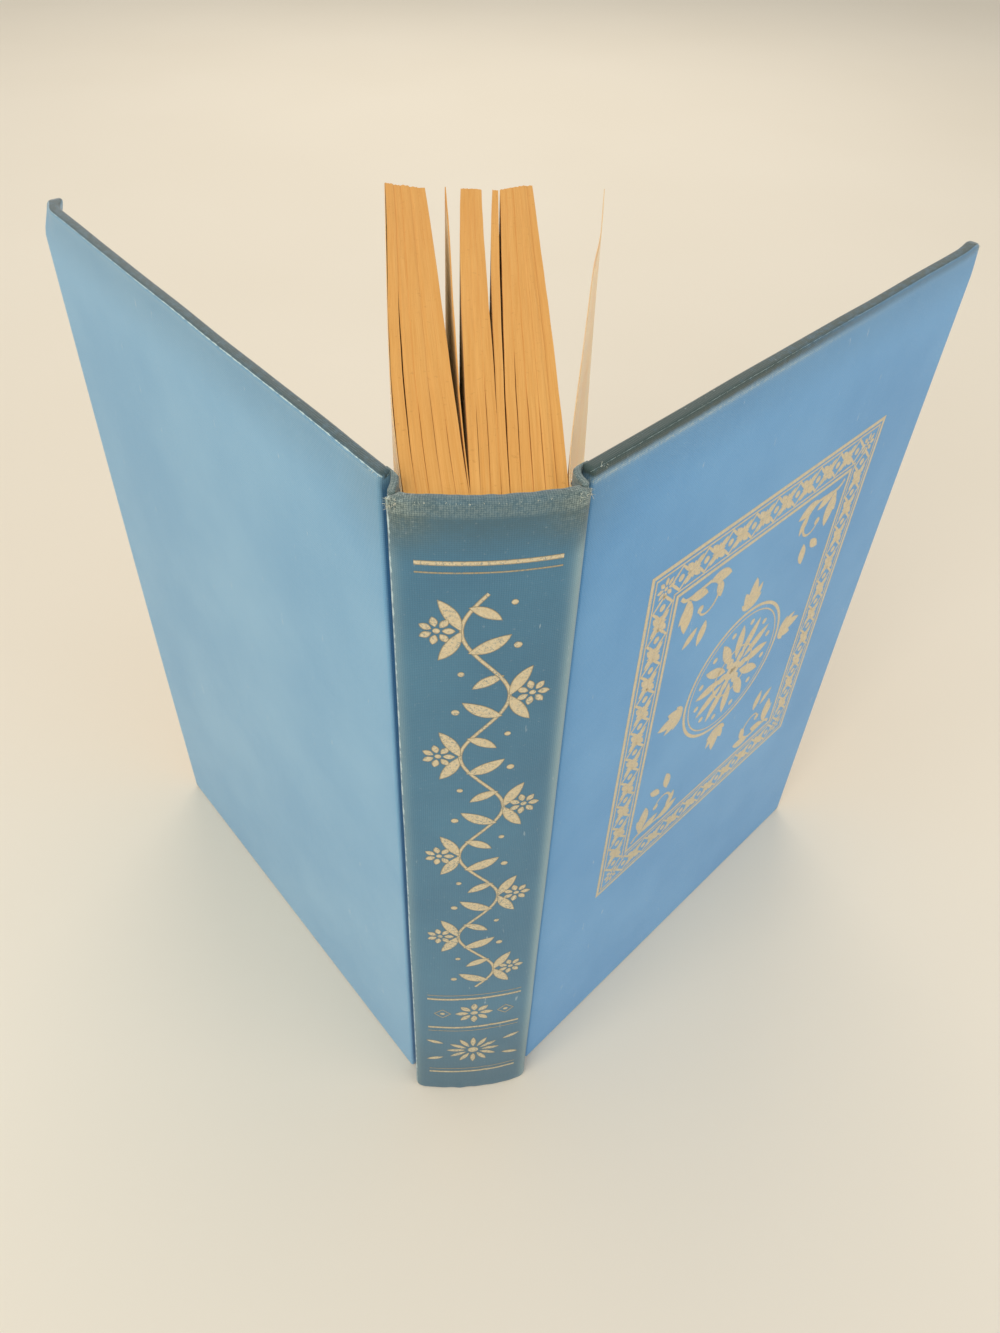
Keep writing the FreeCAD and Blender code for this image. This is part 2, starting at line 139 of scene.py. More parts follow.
def rounded_slab(sides, rounding):
    """The skin of a slab with rounded edges, as points and four-sided faces.

    sides holds the places of the lattice along each axis. A point of the lattice's skin is
    pulled to the rounding's distance from the nearest point of the slab shrunk by it.
    """
    counts = [len(side) for side in sides]
    stride = (counts[1] * counts[2], counts[2], 1)
    faces = []
    for axis in range(3):
        one, two = (other for other in range(3) if other != axis)
        i, j = np.meshgrid(np.arange(counts[one] - 1), np.arange(counts[two] - 1), indexing="ij")
        for end in (0, counts[axis] - 1):
            first = end * stride[axis] + i * stride[one] + j * stride[two]
            quad = [first, first + stride[one], first + stride[one] + stride[two],
                    first + stride[two]]
            quad = np.stack(quad, -1).reshape(-1, 4)
            faces.append(quad[:, ::-1] if (end == 0) != (axis == 1) else quad)
    used, faces = np.unique(np.concatenate(faces), return_inverse=True)
    place = np.unravel_index(used, counts)
    points = np.stack([side[place[axis]] for axis, side in enumerate(sides)], -1)
    low = np.array([side[0] for side in sides]) + rounding
    high = np.array([side[-1] for side in sides]) - rounding
    near = np.clip(points, low, high)
    out = points - near
    out /= np.linalg.norm(out, axis=1, keepdims=True)
    return near + rounding * out, faces.reshape(-1, 4)


def add_piece(name, points, faces, material, smooth=True, **marks):
    """A mesh at the origin from points in millimetres, shaded smooth or flat, with a number or
    vector per point for each of marks."""
    mesh = bpy.data.meshes.new(name)
    mesh.vertices.add(len(points))
    mesh.vertices.foreach_set("co", (points * MM).astype(np.float32).ravel())
    mesh.loops.add(faces.size)
    mesh.loops.foreach_set("vertex_index", faces.astype(np.int32).ravel())
    mesh.polygons.add(len(faces))
    mesh.polygons.foreach_set("loop_start", np.arange(0, faces.size, 4, dtype=np.int32))
    mesh.update(calc_edges=True)
    mesh.validate()
    if smooth:
        mesh.shade_smooth()
    else:
        mesh.shade_flat()
    for mark, values in marks.items():
        vector = values.ndim == 2
        attribute = mesh.attributes.new(mark, "FLOAT_VECTOR" if vector else "FLOAT", "POINT")
        attribute.data.foreach_set("vector" if vector else "value",
                                   values.astype(np.float32).ravel())
    mesh.materials.append(material)
    piece = bpy.data.objects.new(name, mesh)
    bpy.context.scene.collection.objects.link(piece)
    return piece


def wire(tree, kind, sockets, **settings):
    """Adds a node, sets it, and feeds its sockets with values, with hex digits of a colour or
    with other nodes' outputs."""
    made = tree.nodes.new(kind)
    for name, value in settings.items():
        setattr(made, name, value)
    for name, value in sockets.items():
        if isinstance(value, bpy.types.NodeSocket):
            tree.links.new(value, made.inputs[name])
        else:
            made.inputs[name].default_value = linear(value) if isinstance(value, str) else value
    return made


def reckon(tree, operation, *values):
    """The output of a Math node over the values."""
    return wire(tree, "ShaderNodeMath", dict(enumerate(values)), operation=operation).outputs[0]


def eased(tree, value, low, high, start=0.0, end=1.0):
    """The output of a Map Range node that eases from start at low to end at high."""
    sockets = {0: value, 1: low, 2: high, 3: start, 4: end}
    return wire(tree, "ShaderNodeMapRange", sockets, interpolation_type="SMOOTHSTEP").outputs[0]


def mixed(tree, share, one, two):
    """The colour output of a Mix node: one where share is 0 and two where it is 1."""
    return wire(tree, "ShaderNodeMix", {0: share, 6: one, 7: two}, data_type="RGBA").outputs[2]


def stretched(tree, vector, scale):
    """A vector with each of its parts multiplied by its own number."""
    return wire(tree, "ShaderNodeVectorMath", {0: vector, 1: scale},
                operation="MULTIPLY").outputs[0]


def noise(tree, vector, scale, detail=2.0, roughness=0.5):
    """The value output of a Noise Texture."""
    sockets = {"Vector": vector, "Scale": scale, "Detail": detail, "Roughness": roughness}
    return wire(tree, "ShaderNodeTexNoise", sockets).outputs["Fac"]


def mark_of(tree, name, output="Fac"):
    """What a mesh attribute holds: its number, or its Vector."""
    return wire(tree, "ShaderNodeAttribute", {}, attribute_name=name).outputs[output]


def in_millimetres(tree):
    """Object coordinates in millimetres."""
    place = wire(tree, "ShaderNodeTexCoord", {}).outputs["Object"]
    return stretched(tree, place, (1000.0, 1000.0, 1000.0))


def relief(tree, height, depth):
    """The normal of a Bump node whose whole height stands depth millimetres high."""
    sockets = {"Height": height, "Strength": 1.0, "Distance": depth * MM}
    return wire(tree, "ShaderNodeBump", sockets).outputs[0]


def node_group(name, takes, gives):
    """A shader node group with its inner input and output sockets."""
    group = bpy.data.node_groups.new(name, "ShaderNodeTree")
    for direction, sockets in (("INPUT", takes), ("OUTPUT", gives)):
        for label, kind in sockets.items():
            group.interface.new_socket(label, in_out=direction, socket_type="NodeSocket" + kind)
    return group, group.nodes.new("NodeGroupInput").outputs, \
        group.nodes.new("NodeGroupOutput").inputs


def new_material(name, roughness, **constants):
    """A material, its tree and its Principled BSDF, with constants on the shader's sockets."""
    material = bpy.data.materials.new(name)
    material.use_nodes = True
    tree = material.node_tree
    shader = tree.nodes["Principled BSDF"]
    shader.inputs["Roughness"].default_value = roughness
    for socket, value in constants.items():
        shader.inputs[socket.replace("_", " ")].default_value = value
    return material, tree, shader


def feed(tree, shader, **outputs):
    """Links each output to the shader's socket of that name."""
    for socket, output in outputs.items():
        tree.links.new(output, shader.inputs[socket.replace("_", " ")])


def tinted(tree, colour, mask, strength, tint):
    """The colour, mixed towards a tint by the mask times a strength."""
    return mixed(tree, reckon(tree, "MULTIPLY", mask, strength), colour, tint)


# Foxing, dirt and fading: a slow change of tone over the surface and small specks on it
stains, stains_in, stains_out = node_group(
    "stains", {"Place": "Vector", "Size": "Float", "Speck_size": "Float"},
    {"Tone": "Float", "Specks": "Float"})
slow = reckon(stains, "DIVIDE", 1.0, stains_in["Size"])
tone = eased(stains, noise(stains, stains_in["Place"], slow, 4.0, 0.55), 0.3, 0.7)
fast = reckon(stains, "DIVIDE", 1.0, stains_in["Speck_size"])
specks = eased(stains, noise(stains, stains_in["Place"], fast, 3.0, 0.6), 0.62, 0.74)
stains.links.new(tone, stains_out["Tone"])
stains.links.new(specks, stains_out["Specks"])

# Edges of a stack of leaves: lines along the leaves, broad where a few leaves stand together
leaf_lines, leaf_lines_in, leaf_lines_out = node_group(
    "leaf_lines", {"Leaf": "Vector"}, {"Tone": "Float", "Height": "Float"})
broad = noise(leaf_lines, stretched(leaf_lines, leaf_lines_in["Leaf"], (0.9, 0.02, 0.02)), 1.0,
              3.0, 0.6)
fine = noise(leaf_lines, stretched(leaf_lines, leaf_lines_in["Leaf"], (9.0, 0.06, 0.06)), 1.0, 2.0)
both = reckon(leaf_lines, "ADD", reckon(leaf_lines, "MULTIPLY", broad, 0.4),
              reckon(leaf_lines, "MULTIPLY", fine, 0.6))
leaf_lines.links.new(eased(leaf_lines, both, 0.3, 0.7), leaf_lines_out["Tone"])
leaf_lines.links.new(both, leaf_lines_out["Height"])


def stained(tree, place, size, speck_size):
    """The tone and the specks of the stains group, each at its own scale in millimetres."""
    sockets = {"Place": place, "Size": size, "Speck_size": speck_size}
    return wire(tree, "ShaderNodeGroup", sockets, node_tree=stains).outputs


def pages_material():
    """Pulp paper: tan on the cut edges with lines along the leaves, cream on the leaves."""
    material, tree, shader = new_material("pages_paper", 0.85, Specular_IOR_Level=0.2)
    lines = wire(tree, "ShaderNodeGroup", {"Leaf": mark_of(tree, "leaf", "Vector")},
                 node_tree=leaf_lines)
    worn = stained(tree, in_millimetres(tree), 34.0, 1.1)
    cut = mixed(tree, lines.outputs["Tone"], "dca052", "eab366")
    cut = tinted(tree, cut, worn["Tone"], 0.35, "e2a45a")
    cut = tinted(tree, cut, worn["Specks"], 0.30, "b67d38")
    leaf = mixed(tree, worn["Tone"], "f1dcb4", "f8e9c9")
    leaf = tinted(tree, leaf, worn["Specks"], 0.22, "c39a62")
    inward = eased(tree, mark_of(tree, "from_cut"), 0.08, 2.6)
    feed(tree, shader, Base_Color=mixed(tree, inward, cut, leaf),
         Normal=relief(tree, lines.outputs["Height"], 0.12))
    return material


def line_x(line, depth):
    """x of a side of a bundle: the cubic through its three depths and its fore-edge."""
    *across, tip = line
    return np.polyval(np.polyfit((*LINE_DEPTHS, tip), across, 3), depth)


def section_of_leaves(near, far, share, cracks, lean, seed):
    """One sewn section: a rounded slab whose x is led between the lines of its bundle's two
    sides, and whose y runs from the folded back to the fore-edge. It leans by the distance
    from the back to the power 1.5, times the distance from the head."""
    bundle = float(line_x(far, 35.0) - line_x(near, 35.0))
    width = bundle * (share[1] - share[0])
    rounding = min(SECTION_ROUNDING, 0.45 * width)
    sides = (stations(0, width, rounding, max(2, int(width / 0.2))),
             stations(0, PAGE_DEPTH, rounding, 44),
             stations(PAGE_TAIL, PAGE_HEAD, rounding, 20))
    points, faces = rounded_slab(sides, rounding)
    part, along, z = points[:, 0] / width, points[:, 1] / PAGE_DEPTH, points[:, 2]
    whole = share[0] + part * (share[1] - share[0])
    up = (z - PAGE_TAIL) / (PAGE_HEAD - PAGE_TAIL)
    leaf = whole * bundle
    root_x = near[0] + whole * (far[0] - near[0])
    root = BACK_DEPTH + BACK_CURVE * (root_x / BACK_HALF_WIDTH) ** 2 \
        + FOLD_CURVE * (2 * part - 1) ** 2
    tip = near[-1] + whole * (far[-1] - near[-1]) \
        + RAGGED_FORE_EDGE * uneven(leaf + 9 * seed, 0.35, seed)
    y = root + along * (tip - root)
    left, right = line_x(near, y), line_x(far, y)
    wave = PAGE_WAVE * ease(y, 5, 20) * uneven(y, 9, int(near[0]) + 300)
    x = left + whole * (right - left) + wave
    # A crack pushes the sections on its two sides apart. Beyond its reach they are pressed.
    for (width_of, reach), beside in zip(cracks, (1 - part, -part)):
        opening = width_of * ease(y, 0, 0.4 * reach) * (1 - ease(y, 0.55 * reach, reach))
        x += beside / 2 * (opening - (width_of > 0) * PRESSED * ease(y, 0.6 * reach, reach))
    sway = (y / PAGE_DEPTH) ** 2 * PAGE_SWAY * ease(PAGE_HEAD - z, 80, 150)
    x += sway * np.sin(z / 31 + near[0] * 0.35) + lean * along ** 1.5 * (1 - up)
    z = z + up * (RAGGED_HEAD * uneven(leaf + 5 * seed, 0.42, seed + 50)
                  + BUNDLE_STEP * uneven(seed, 1, 3))
    from_cut = np.minimum(np.minimum(PAGE_HEAD - points[:, 2], points[:, 2] - PAGE_TAIL),
                          PAGE_DEPTH - points[:, 1])
    return (np.stack([x, y, z], -1), faces, np.stack([root_x, y, z], -1), from_cut)


def joined(parts):
    """Several meshes of points, faces and marks as one."""
    shift = np.cumsum([0] + [len(part[0]) for part in parts[:-1]])
    faces = np.concatenate([part[1] + offset for part, offset in zip(parts, shift)])
    return [np.concatenate([part[0] for part in parts]), faces] + \
        [np.concatenate([part[k] for part in parts]) for k in range(2, len(parts[0]))]


sections = []
for near_side, far_side, cracks, lean in PAGE_BUNDLES:
    count = len(cracks) + 1
    cracks = (CLOSED, *cracks, CLOSED)
    for number in range(count):
        sections.append(section_of_leaves(
            near_side, far_side, (number / count, (number + 1) / count),
            cracks[number:number + 2], lean, 10 + len(sections)))
points, faces, leaf_place, from_cut = joined(sections)
pages_paper = pages_material()
pages = add_piece("pages", points, faces, pages_paper, leaf=leaf_place, from_cut=from_cut)
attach(pages, "pages_and_spine")
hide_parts("text_block")
frame["nodes"]["text_block"].data.materials.clear()
frame["nodes"]["text_block"].data.materials.append(pages_paper)


# ---- Lining and open-weave cloth -------------------------------------------------------------
# A strip of open-weave cloth is glued over the backs of the pages and reaches onto both boards.
# Brown paper is pasted over it on the backs. Both keep their CAD shapes.
WEAVE_PITCH = 0.42
THREAD_WANDER = 0.16


def dress(node, material):
    """Gives a CAD node its material."""
    slots = frame["nodes"][node].data.materials
    slots.clear()
    slots.append(material)


# Plain weave: each warp thread passes over one weft thread and under the next. Where both sines
# have one sign the warp is on top, otherwise the weft.
plain_weave, plain_weave_in, plain_weave_out = node_group(
    "plain_weave", {"Threads": "Vector", "Pitch": "Float", "Unevenness": "Float"},
    {"Height": "Float", "Slubs": "Float"})
wander = wire(plain_weave, "ShaderNodeTexNoise",
              {"Vector": plain_weave_in["Threads"], "Scale": 0.45, "Detail": 2.0})
wander = wire(plain_weave, "ShaderNodeVectorMath",
              {0: wander.outputs["Color"], "Scale": plain_weave_in["Unevenness"]},
              operation="SCALE").outputs[0]
wander = wire(plain_weave, "ShaderNodeVectorMath", {0: plain_weave_in["Threads"], 1: wander},
              operation="ADD").outputs[0]
wander = wire(plain_weave, "ShaderNodeVectorMath",
              {0: wander, "Scale": reckon(plain_weave, "DIVIDE", np.pi,
                                          plain_weave_in["Pitch"])},
              operation="SCALE").outputs[0]
across, upward, _ = wire(plain_weave, "ShaderNodeSeparateXYZ", {0: wander}).outputs
across, upward = reckon(plain_weave, "SINE", across), reckon(plain_weave, "SINE", upward)
crossing = reckon(plain_weave, "MULTIPLY", across, upward)
warp = reckon(plain_weave, "ADD", reckon(plain_weave, "ABSOLUTE", across), crossing)
weft = reckon(plain_weave, "SUBTRACT", reckon(plain_weave, "ABSOLUTE", upward), crossing)
plain_weave.links.new(reckon(plain_weave, "MULTIPLY", reckon(plain_weave, "MAXIMUM", warp, weft),
                             0.5), plain_weave_out["Height"])
streaks = noise(plain_weave, stretched(plain_weave, plain_weave_in["Threads"],
                                       (0.05, 1.6, 1.0)), 1.0, 2.0)
cross_streaks = noise(plain_weave, stretched(plain_weave, plain_weave_in["Threads"],
                                             (1.6, 0.05, 1.0)), 1.0, 2.0)
plain_weave.links.new(reckon(plain_weave, "MULTIPLY", reckon(plain_weave, "ADD", streaks,
                                                             cross_streaks), 0.5),
                      plain_weave_out["Slubs"])


def woven(tree, threads, pitch=WEAVE_PITCH, wander=THREAD_WANDER):
    """The height and the slubs of the plain weave group."""
    sockets = {"Threads": threads, "Pitch": pitch, "Unevenness": wander}
    return wire(tree, "ShaderNodeGroup", sockets, node_tree=plain_weave).outputs


def lining_material():
    """Brown kraft paper with short fibres and glue marks."""
    material, tree, shader = new_material("brown_lining_paper", 0.85, Specular_IOR_Level=0.2)
    place = in_millimetres(tree)
    fibre = noise(tree, stretched(tree, place, (2.4, 2.4, 0.5)), 1.0, 4.0, 0.65)
    colour = mixed(tree, fibre, "8f7450", "b89b70")
    colour = tinted(tree, colour, stained(tree, place, 12.0, 0.8)["Specks"], 0.5, "6b5335")
    feed(tree, shader, Base_Color=colour, Normal=relief(tree, fibre, 0.05))
    return material


def mull_material():
    """Undyed open-weave cotton stiffened with glue."""
    material, tree, shader = new_material("open_weave_cotton", 0.9, Sheen_Weight=0.1)
    place = in_millimetres(tree)
    flat = wire(tree, "ShaderNodeSeparateXYZ", {0: place}).outputs
    threads = wire(tree, "ShaderNodeCombineXYZ",
                   {0: reckon(tree, "ADD", flat[0], flat[1]), 1: flat[2], 2: 0.0}).outputs[0]
    height = woven(tree, threads, 0.9, 0.3)["Height"]
    feed(tree, shader, Base_Color=mixed(tree, height, "a8916a", "e0d5bb"),
         Normal=relief(tree, height, 0.15))
    return material


dress("spine_lining", lining_material())
mull_cotton = mull_material()
for node in ("spine_mull", "front_mull_flap", "back_mull_flap"):
    dress(node, mull_cotton)


# ---- Spine -----------------------------------------------------------------------------------
# A strip of card stiffens the spine. The case's cloth is wrapped round it and turned in at head
# and tail. It is darker than the covers' cloth, partly sun-dulled and partly painted shade; its
# shoulders are paler, partly rubbing and fading and partly a painted highlight; and it is grimy
# and worn at the head.
CASE_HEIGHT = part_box("spine_cloth")[1].z / MM
CLOTH = 0.42
TURN_IN = 15.0
SPINE_THICKNESS = 2.5
SPINE_ROUNDING = 0.9
CARD_INSET = 0.47
CARD_ROUNDING = 0.4
SPINE_OUTLINE = ((-16.5, 2.5), (-16.35, 1.3), (-15.7, 0.3), (-14.6, -0.35), (-13.0, -0.72),
                 (-9.5, -1.3), (-5.0, -1.8), (0.0, -2.0), (5.0, -1.8), (9.5, -1.3), (13.0, -0.72),
                 (14.6, -0.35), (15.7, 0.3), (16.35, 1.3), (16.5, 2.5))
# The crease near the tail runs from x 5.6 at height 52 to x 3.4 at height 12
CREASE = (5.6, 52.0, 3.4, 12.0)
CREASE_WIDTH = 0.5
CREASE_DEPTH = 0.10
SPINE_DENT = 0.07
END_PINCH = 0.12
RIM_WAVE = 0.10
CORNER_DROP = 0.8


def smooth_line(corners, count=8):
    """A smooth line through the corners: on each stretch the cubic that leaves and arrives with
    half the step between its neighbours."""
    line = np.asarray(corners, float)
    line = np.vstack([2 * line[0] - line[1], line, 2 * line[-1] - line[-2]])
    share = np.linspace(0, 1, count, endpoint=False)[None, :, None]
    before, first, last, after = (line[k:len(line) - 3 + k][:, None] for k in range(4))
    stretch = 0.5 * (2 * first + (last - before) * share
                     + (2 * before - 5 * first + 4 * last - after) * share ** 2
                     + (3 * first - before - 3 * last + after) * share ** 3)
    return np.vstack([stretch.reshape(-1, line.shape[1]), line[-2]])


def length_along(line):
    """The distance of each point of a line from its start."""
    return np.concatenate([[0.0], np.cumsum(np.linalg.norm(np.diff(line, axis=0), axis=1))])


def laid_along(line, distance, offset):
    """Points a distance along a flat line and moved to its left by offset."""
    length = length_along(line)
    slope = np.gradient(line, length, axis=0)
    place = np.stack([np.interp(distance, length, line[:, k]) for k in (0, 1)], -1)
    slope = np.stack([np.interp(distance, length, slope[:, k]) for k in (0, 1)], -1)
    slope /= np.linalg.norm(slope, axis=1, keepdims=True)
    return place + np.stack([-slope[:, 1], slope[:, 0]], -1) * np.asarray(offset)[..., None]


spine_line = smooth_line(SPINE_OUTLINE)
SPINE_GIRTH = float(length_along(spine_line)[-1])


def on_spine(girth, depth, z):
    """A place on the spine from the distance round its outer face, the depth under that face
    and the height. The face is slightly uneven and has one shallow crease near the tail."""
    crease_x = CREASE[0] + (CREASE[1] - z) / (CREASE[1] - CREASE[3]) * (CREASE[2] - CREASE[0])
    beside = (girth - SPINE_GIRTH / 2 - crease_x) / CREASE_WIDTH
    crease = np.exp(-beside ** 2) * ease(z, 4, 14) * (1 - ease(z, 44, 58))
    dent = SPINE_DENT * uneven(z + 3 * girth, 21, 71) + CREASE_DEPTH * crease
    end = ease(np.abs(z - CASE_HEIGHT / 2), CASE_HEIGHT / 2 - 7, CASE_HEIGHT / 2)
    dent = dent - END_PINCH * end * (1 + uneven(girth, 2.5, 72))
    top = ease(z, CASE_HEIGHT - 5, CASE_HEIGHT)
    from_corner = np.minimum(girth, SPINE_GIRTH - girth)
    rise = RIM_WAVE * uneven(girth, 1.7, 73) - CORNER_DROP * (1 - ease(from_corner, 0.8, 3.2))
    flat = laid_along(spine_line, girth, depth + dent)
    return np.stack([flat[:, 0], flat[:, 1], z + top * rise], -1)


# Rubbed edges: within reach of an edge, by a distance that changes from place to place
rubbed, rubbed_in, rubbed_out = node_group(
    "rubbed_edge", {"Distance": "Float", "Reach": "Float", "Place": "Vector"},
    {"Rubbed": "Float"})
patch = noise(rubbed, rubbed_in["Place"], 0.5, 4.0, 0.65)
reach = reckon(rubbed, "MULTIPLY", rubbed_in["Reach"], eased(rubbed, patch, 0.3, 0.7, 0.3, 1.7))
over = reckon(rubbed, "DIVIDE", reckon(rubbed, "SUBTRACT", reach, rubbed_in["Distance"]),
              reckon(rubbed, "MULTIPLY", rubbed_in["Reach"], 0.9))
rubbed.links.new(eased(rubbed, over, 0.0, 1.0), rubbed_out["Rubbed"])


def cloth_material(name, colour, light, grime, rub_reach, sheen):
    """Starched plain-weave book cloth.

    Its dye varies slowly and from thread to thread, and the hollows between the threads are
    darkened as painted shade. The three parts of the vector mark say how much dirt has turned it
    grey-green, how pale its thread tops are, from wear and, under the spine's head, from a painted
    highlight, and how far it is a deeper blue, kept dye and painted shade in the grooves, or,
    below zero, a paler blue, worn and fading and partly a painted highlight on the shoulders.
    Pale threads also show within rub_reach of an edge.
    """
    material, tree, shader = new_material(name, 0.66, Specular_IOR_Level=0.35,
                                          Sheen_Weight=sheen, Sheen_Roughness=0.45)
    threads = mark_of(tree, "threads", "Vector")
    dirty, bare_and_highlight, kept = wire(tree, "ShaderNodeSeparateXYZ",
                             {0: mark_of(tree, "wear", "Vector")}).outputs
    height, slubs = woven(tree, threads).values()
    marks = stained(tree, threads, 46.0, 0.9)
    dye = mixed(tree, marks["Tone"], colour, light)
    dye = mixed(tree, eased(tree, slubs, 0.35, 0.65, 0.0, 0.22), dye, light)
    dye = mixed(tree, kept, dye, "3077a6")
    dye = tinted(tree, dye, kept, -1.0, "9fc0c8")
    # The hollows between the threads are darkened towards blue-grey: painted shade
    dye = mixed(tree, eased(tree, height, 0.05, 0.5, 0.30, 0.0), dye, "27414f")
    uneven_dirt = eased(tree, noise(tree, threads, 0.6, 4.0, 0.7), 0.3, 0.6, 0.86, 1.0)
    dye = tinted(tree, dye, dirty, uneven_dirt, grime)
    patchy = eased(tree, noise(tree, threads, 1.3, 5.0, 0.85), 0.38, 0.6, 0.15, 1.0)
    tops = reckon(tree, "MULTIPLY", patchy, eased(tree, height, 0.25, 0.7, 0.25, 1.0))
    dye = tinted(tree, dye, bare_and_highlight, tops, "bccabf")
    edge = wire(tree, "ShaderNodeGroup", {"Distance": mark_of(tree, "from_edge"),
                                          "Reach": rub_reach, "Place": threads},
                node_tree=rubbed)
    worn_tops = eased(tree, height, 0.15, 0.6, 0.45, 0.95)
    dye = tinted(tree, dye, edge.outputs["Rubbed"], worn_tops, "c8dfdf")
    scuffs = eased(tree, noise(tree, stretched(tree, threads, (0.55, 0.12, 0.5)), 1.0, 3.0),
                   0.70, 0.76, 0.0, 0.35)
    dye = mixed(tree, scuffs, dye, "d5dedd")
    dye = tinted(tree, dye, marks["Specks"], 0.10, "dfe3dc")
    feed(tree, shader, Base_Color=dye, Normal=relief(tree, height, 0.05),
         Roughness=eased(tree, height, 0.1, 0.8, 0.74, 0.58))
    return material


def card_material(name, dark, light):
    """Grey-brown pulp board with flecks."""
    material, tree, shader = new_material(name, 0.9, Specular_IOR_Level=0.2)
    place = in_millimetres(tree)
    pulp = noise(tree, place, 0.9, 5.0, 0.7)
    colour = mixed(tree, pulp, dark, light)
    colour = tinted(tree, colour, stained(tree, place, 9.0, 0.5)["Specks"], 0.6, "574a38")
    feed(tree, shader, Base_Color=colour, Normal=relief(tree, pulp, 0.08))
    return material


def open_window(points, faces, missing):
    """The faces whose middle isn't in the missing part, and only the points that they use."""
    keep = ~missing(points[faces].mean(1))
    used, kept = np.unique(faces[keep], return_inverse=True)
    return used, kept.reshape(-1, 4)


def wall(piece, thickness):
    """Gives a shell its thickness on the inside."""
    solid = piece.modifiers.new("cloth_thickness", "SOLIDIFY")
    solid.thickness = thickness * MM
    solid.offset = -1.0
    solid.use_even_offset = False


sides = (stations(CARD_INSET + 0.6, SPINE_GIRTH - CARD_INSET - 0.6, CARD_ROUNDING, 60),
         stations(CARD_INSET, SPINE_THICKNESS - CARD_INSET, CARD_ROUNDING, 3),
         stations(CARD_INSET, CASE_HEIGHT - CARD_INSET, CARD_ROUNDING, 60))
points, faces = rounded_slab(sides, CARD_ROUNDING)
spine_card = card_material("spine_card", "8d7a5c", "b5a07c")
inlay = add_piece("spine_inlay_card", on_spine(*points.T), faces, spine_card)
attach(inlay, "pages_and_spine")
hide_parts("spine_inlay")
dress("spine_inlay", spine_card)

sides = (stations(0, SPINE_GIRTH, SPINE_ROUNDING, 74),
         stations(0, SPINE_THICKNESS, SPINE_ROUNDING, 3),
         stations(0, CASE_HEIGHT, SPINE_ROUNDING, 110,
                 (TURN_IN, CASE_HEIGHT - TURN_IN, *(CASE_HEIGHT - np.arange(1.2, 5.5, 0.5)))))
points, faces = rounded_slab(sides, SPINE_ROUNDING)
used, faces = open_window(points, faces, lambda middle: (
    (middle[:, 1] > SPINE_THICKNESS - 0.5) & (np.abs(middle[:, 2] - CASE_HEIGHT / 2)
                                             < CASE_HEIGHT / 2 - TURN_IN)))
girth, depth, z = points[used].T
to_end = np.minimum(z, CASE_HEIGHT - z)
threads = np.stack([girth, z + np.sign(z - CASE_HEIGHT / 2) * depth
                    * (1 - ease(to_end, 0, 5)), depth], -1)
from_side = np.minimum(girth, SPINE_GIRTH - girth)
# Pale rubbed threads run along both shoulders, partly a painted highlight on their rounded edges
to_shoulder = np.where(girth < SPINE_GIRTH / 2, np.abs(from_side - 1.4) * 0.55,
                       np.abs(from_side - 0.7) * 2.5) + 0.02
# Dirt lies on the head, most of all at its corners, on the lower spine and on the turned edges
head = ease(z, CASE_HEIGHT - 19, CASE_HEIGHT - 1)
corner = 1 - ease(from_side, 3.0, 12.0)
grime = head * (0.75 + 0.25 * corner) + 0.55 * (1 - ease(z, 4, 85))
grime = np.maximum(grime, 0.25)
grime = np.maximum(grime, 0.75 * ease(depth - to_end, -0.3, 0.4))
# Pale thread tops show in a band under the rim, partly worn threads and partly a painted
# highlight on the ribs of the rounded head, and a little at the corners and, as part of their
# painted highlight, along the shoulders
rim_highlight_and_wear = ease(z, CASE_HEIGHT - 3.8, CASE_HEIGHT - 2.6)
bare_and_highlight = rim_highlight_and_wear * (0.26 + 0.34 * (1 - ease(from_side, 2.5, 9)))
bare_and_highlight = np.maximum(bare_and_highlight, 0.20 * ease(z, CASE_HEIGHT - 11, CASE_HEIGHT - 4) * corner)
bare_and_highlight = np.maximum(bare_and_highlight, 0.10 * (1 - ease(from_side, 1.5, 4.0)))
# The sides in the grooves are a deeper blue, kept dye and painted shade. A small hole is torn
# near the left head corner, and both shoulders are paler, the right one more, partly fading and
# partly a painted highlight on their edges.
kept = ease(depth, 0.9, 1.7) * (1 - ease(from_side, 0.3, 2.0)) * ease(to_end, 2, 6)
torn = np.exp(-((girth - 2.4) / 0.6) ** 2 - ((CASE_HEIGHT - 1.8 - z) / 0.7) ** 2)
bare_and_highlight, kept = bare_and_highlight * (1 - 0.85 * torn), np.maximum(kept, torn)
# Painted highlight, with some fading, makes both shoulders a paler blue
faded = 0.22 * np.exp(-((girth - 2.0) / 1.6) ** 2) \
    + 0.85 * np.exp(-((SPINE_GIRTH - girth - 2.2) / 1.7) ** 2)
kept = kept - faded * ease(CASE_HEIGHT - z, 3, 14) * (1 - ease(depth, 0.3, 1.0))
# The spine's cloth is darker than the covers', partly dulled dye and partly painted shade
spine_dye_and_shade = cloth_material("spine_cloth_dulled_and_shaded", "427797", "4f86a5", "45595a", 0.22, 0.20)
spine_shell = add_piece("spine_case_cloth", on_spine(girth, depth, z), faces, spine_dye_and_shade,
                        threads=threads, from_edge=to_shoulder,
                        wear=np.stack([np.clip(grime, 0, 1), bare_and_highlight, kept], -1))
wall(spine_shell, CLOTH)
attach(spine_shell, "pages_and_spine")
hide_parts("spine_cloth")
dress("spine_cloth", spine_dye_and_shade)


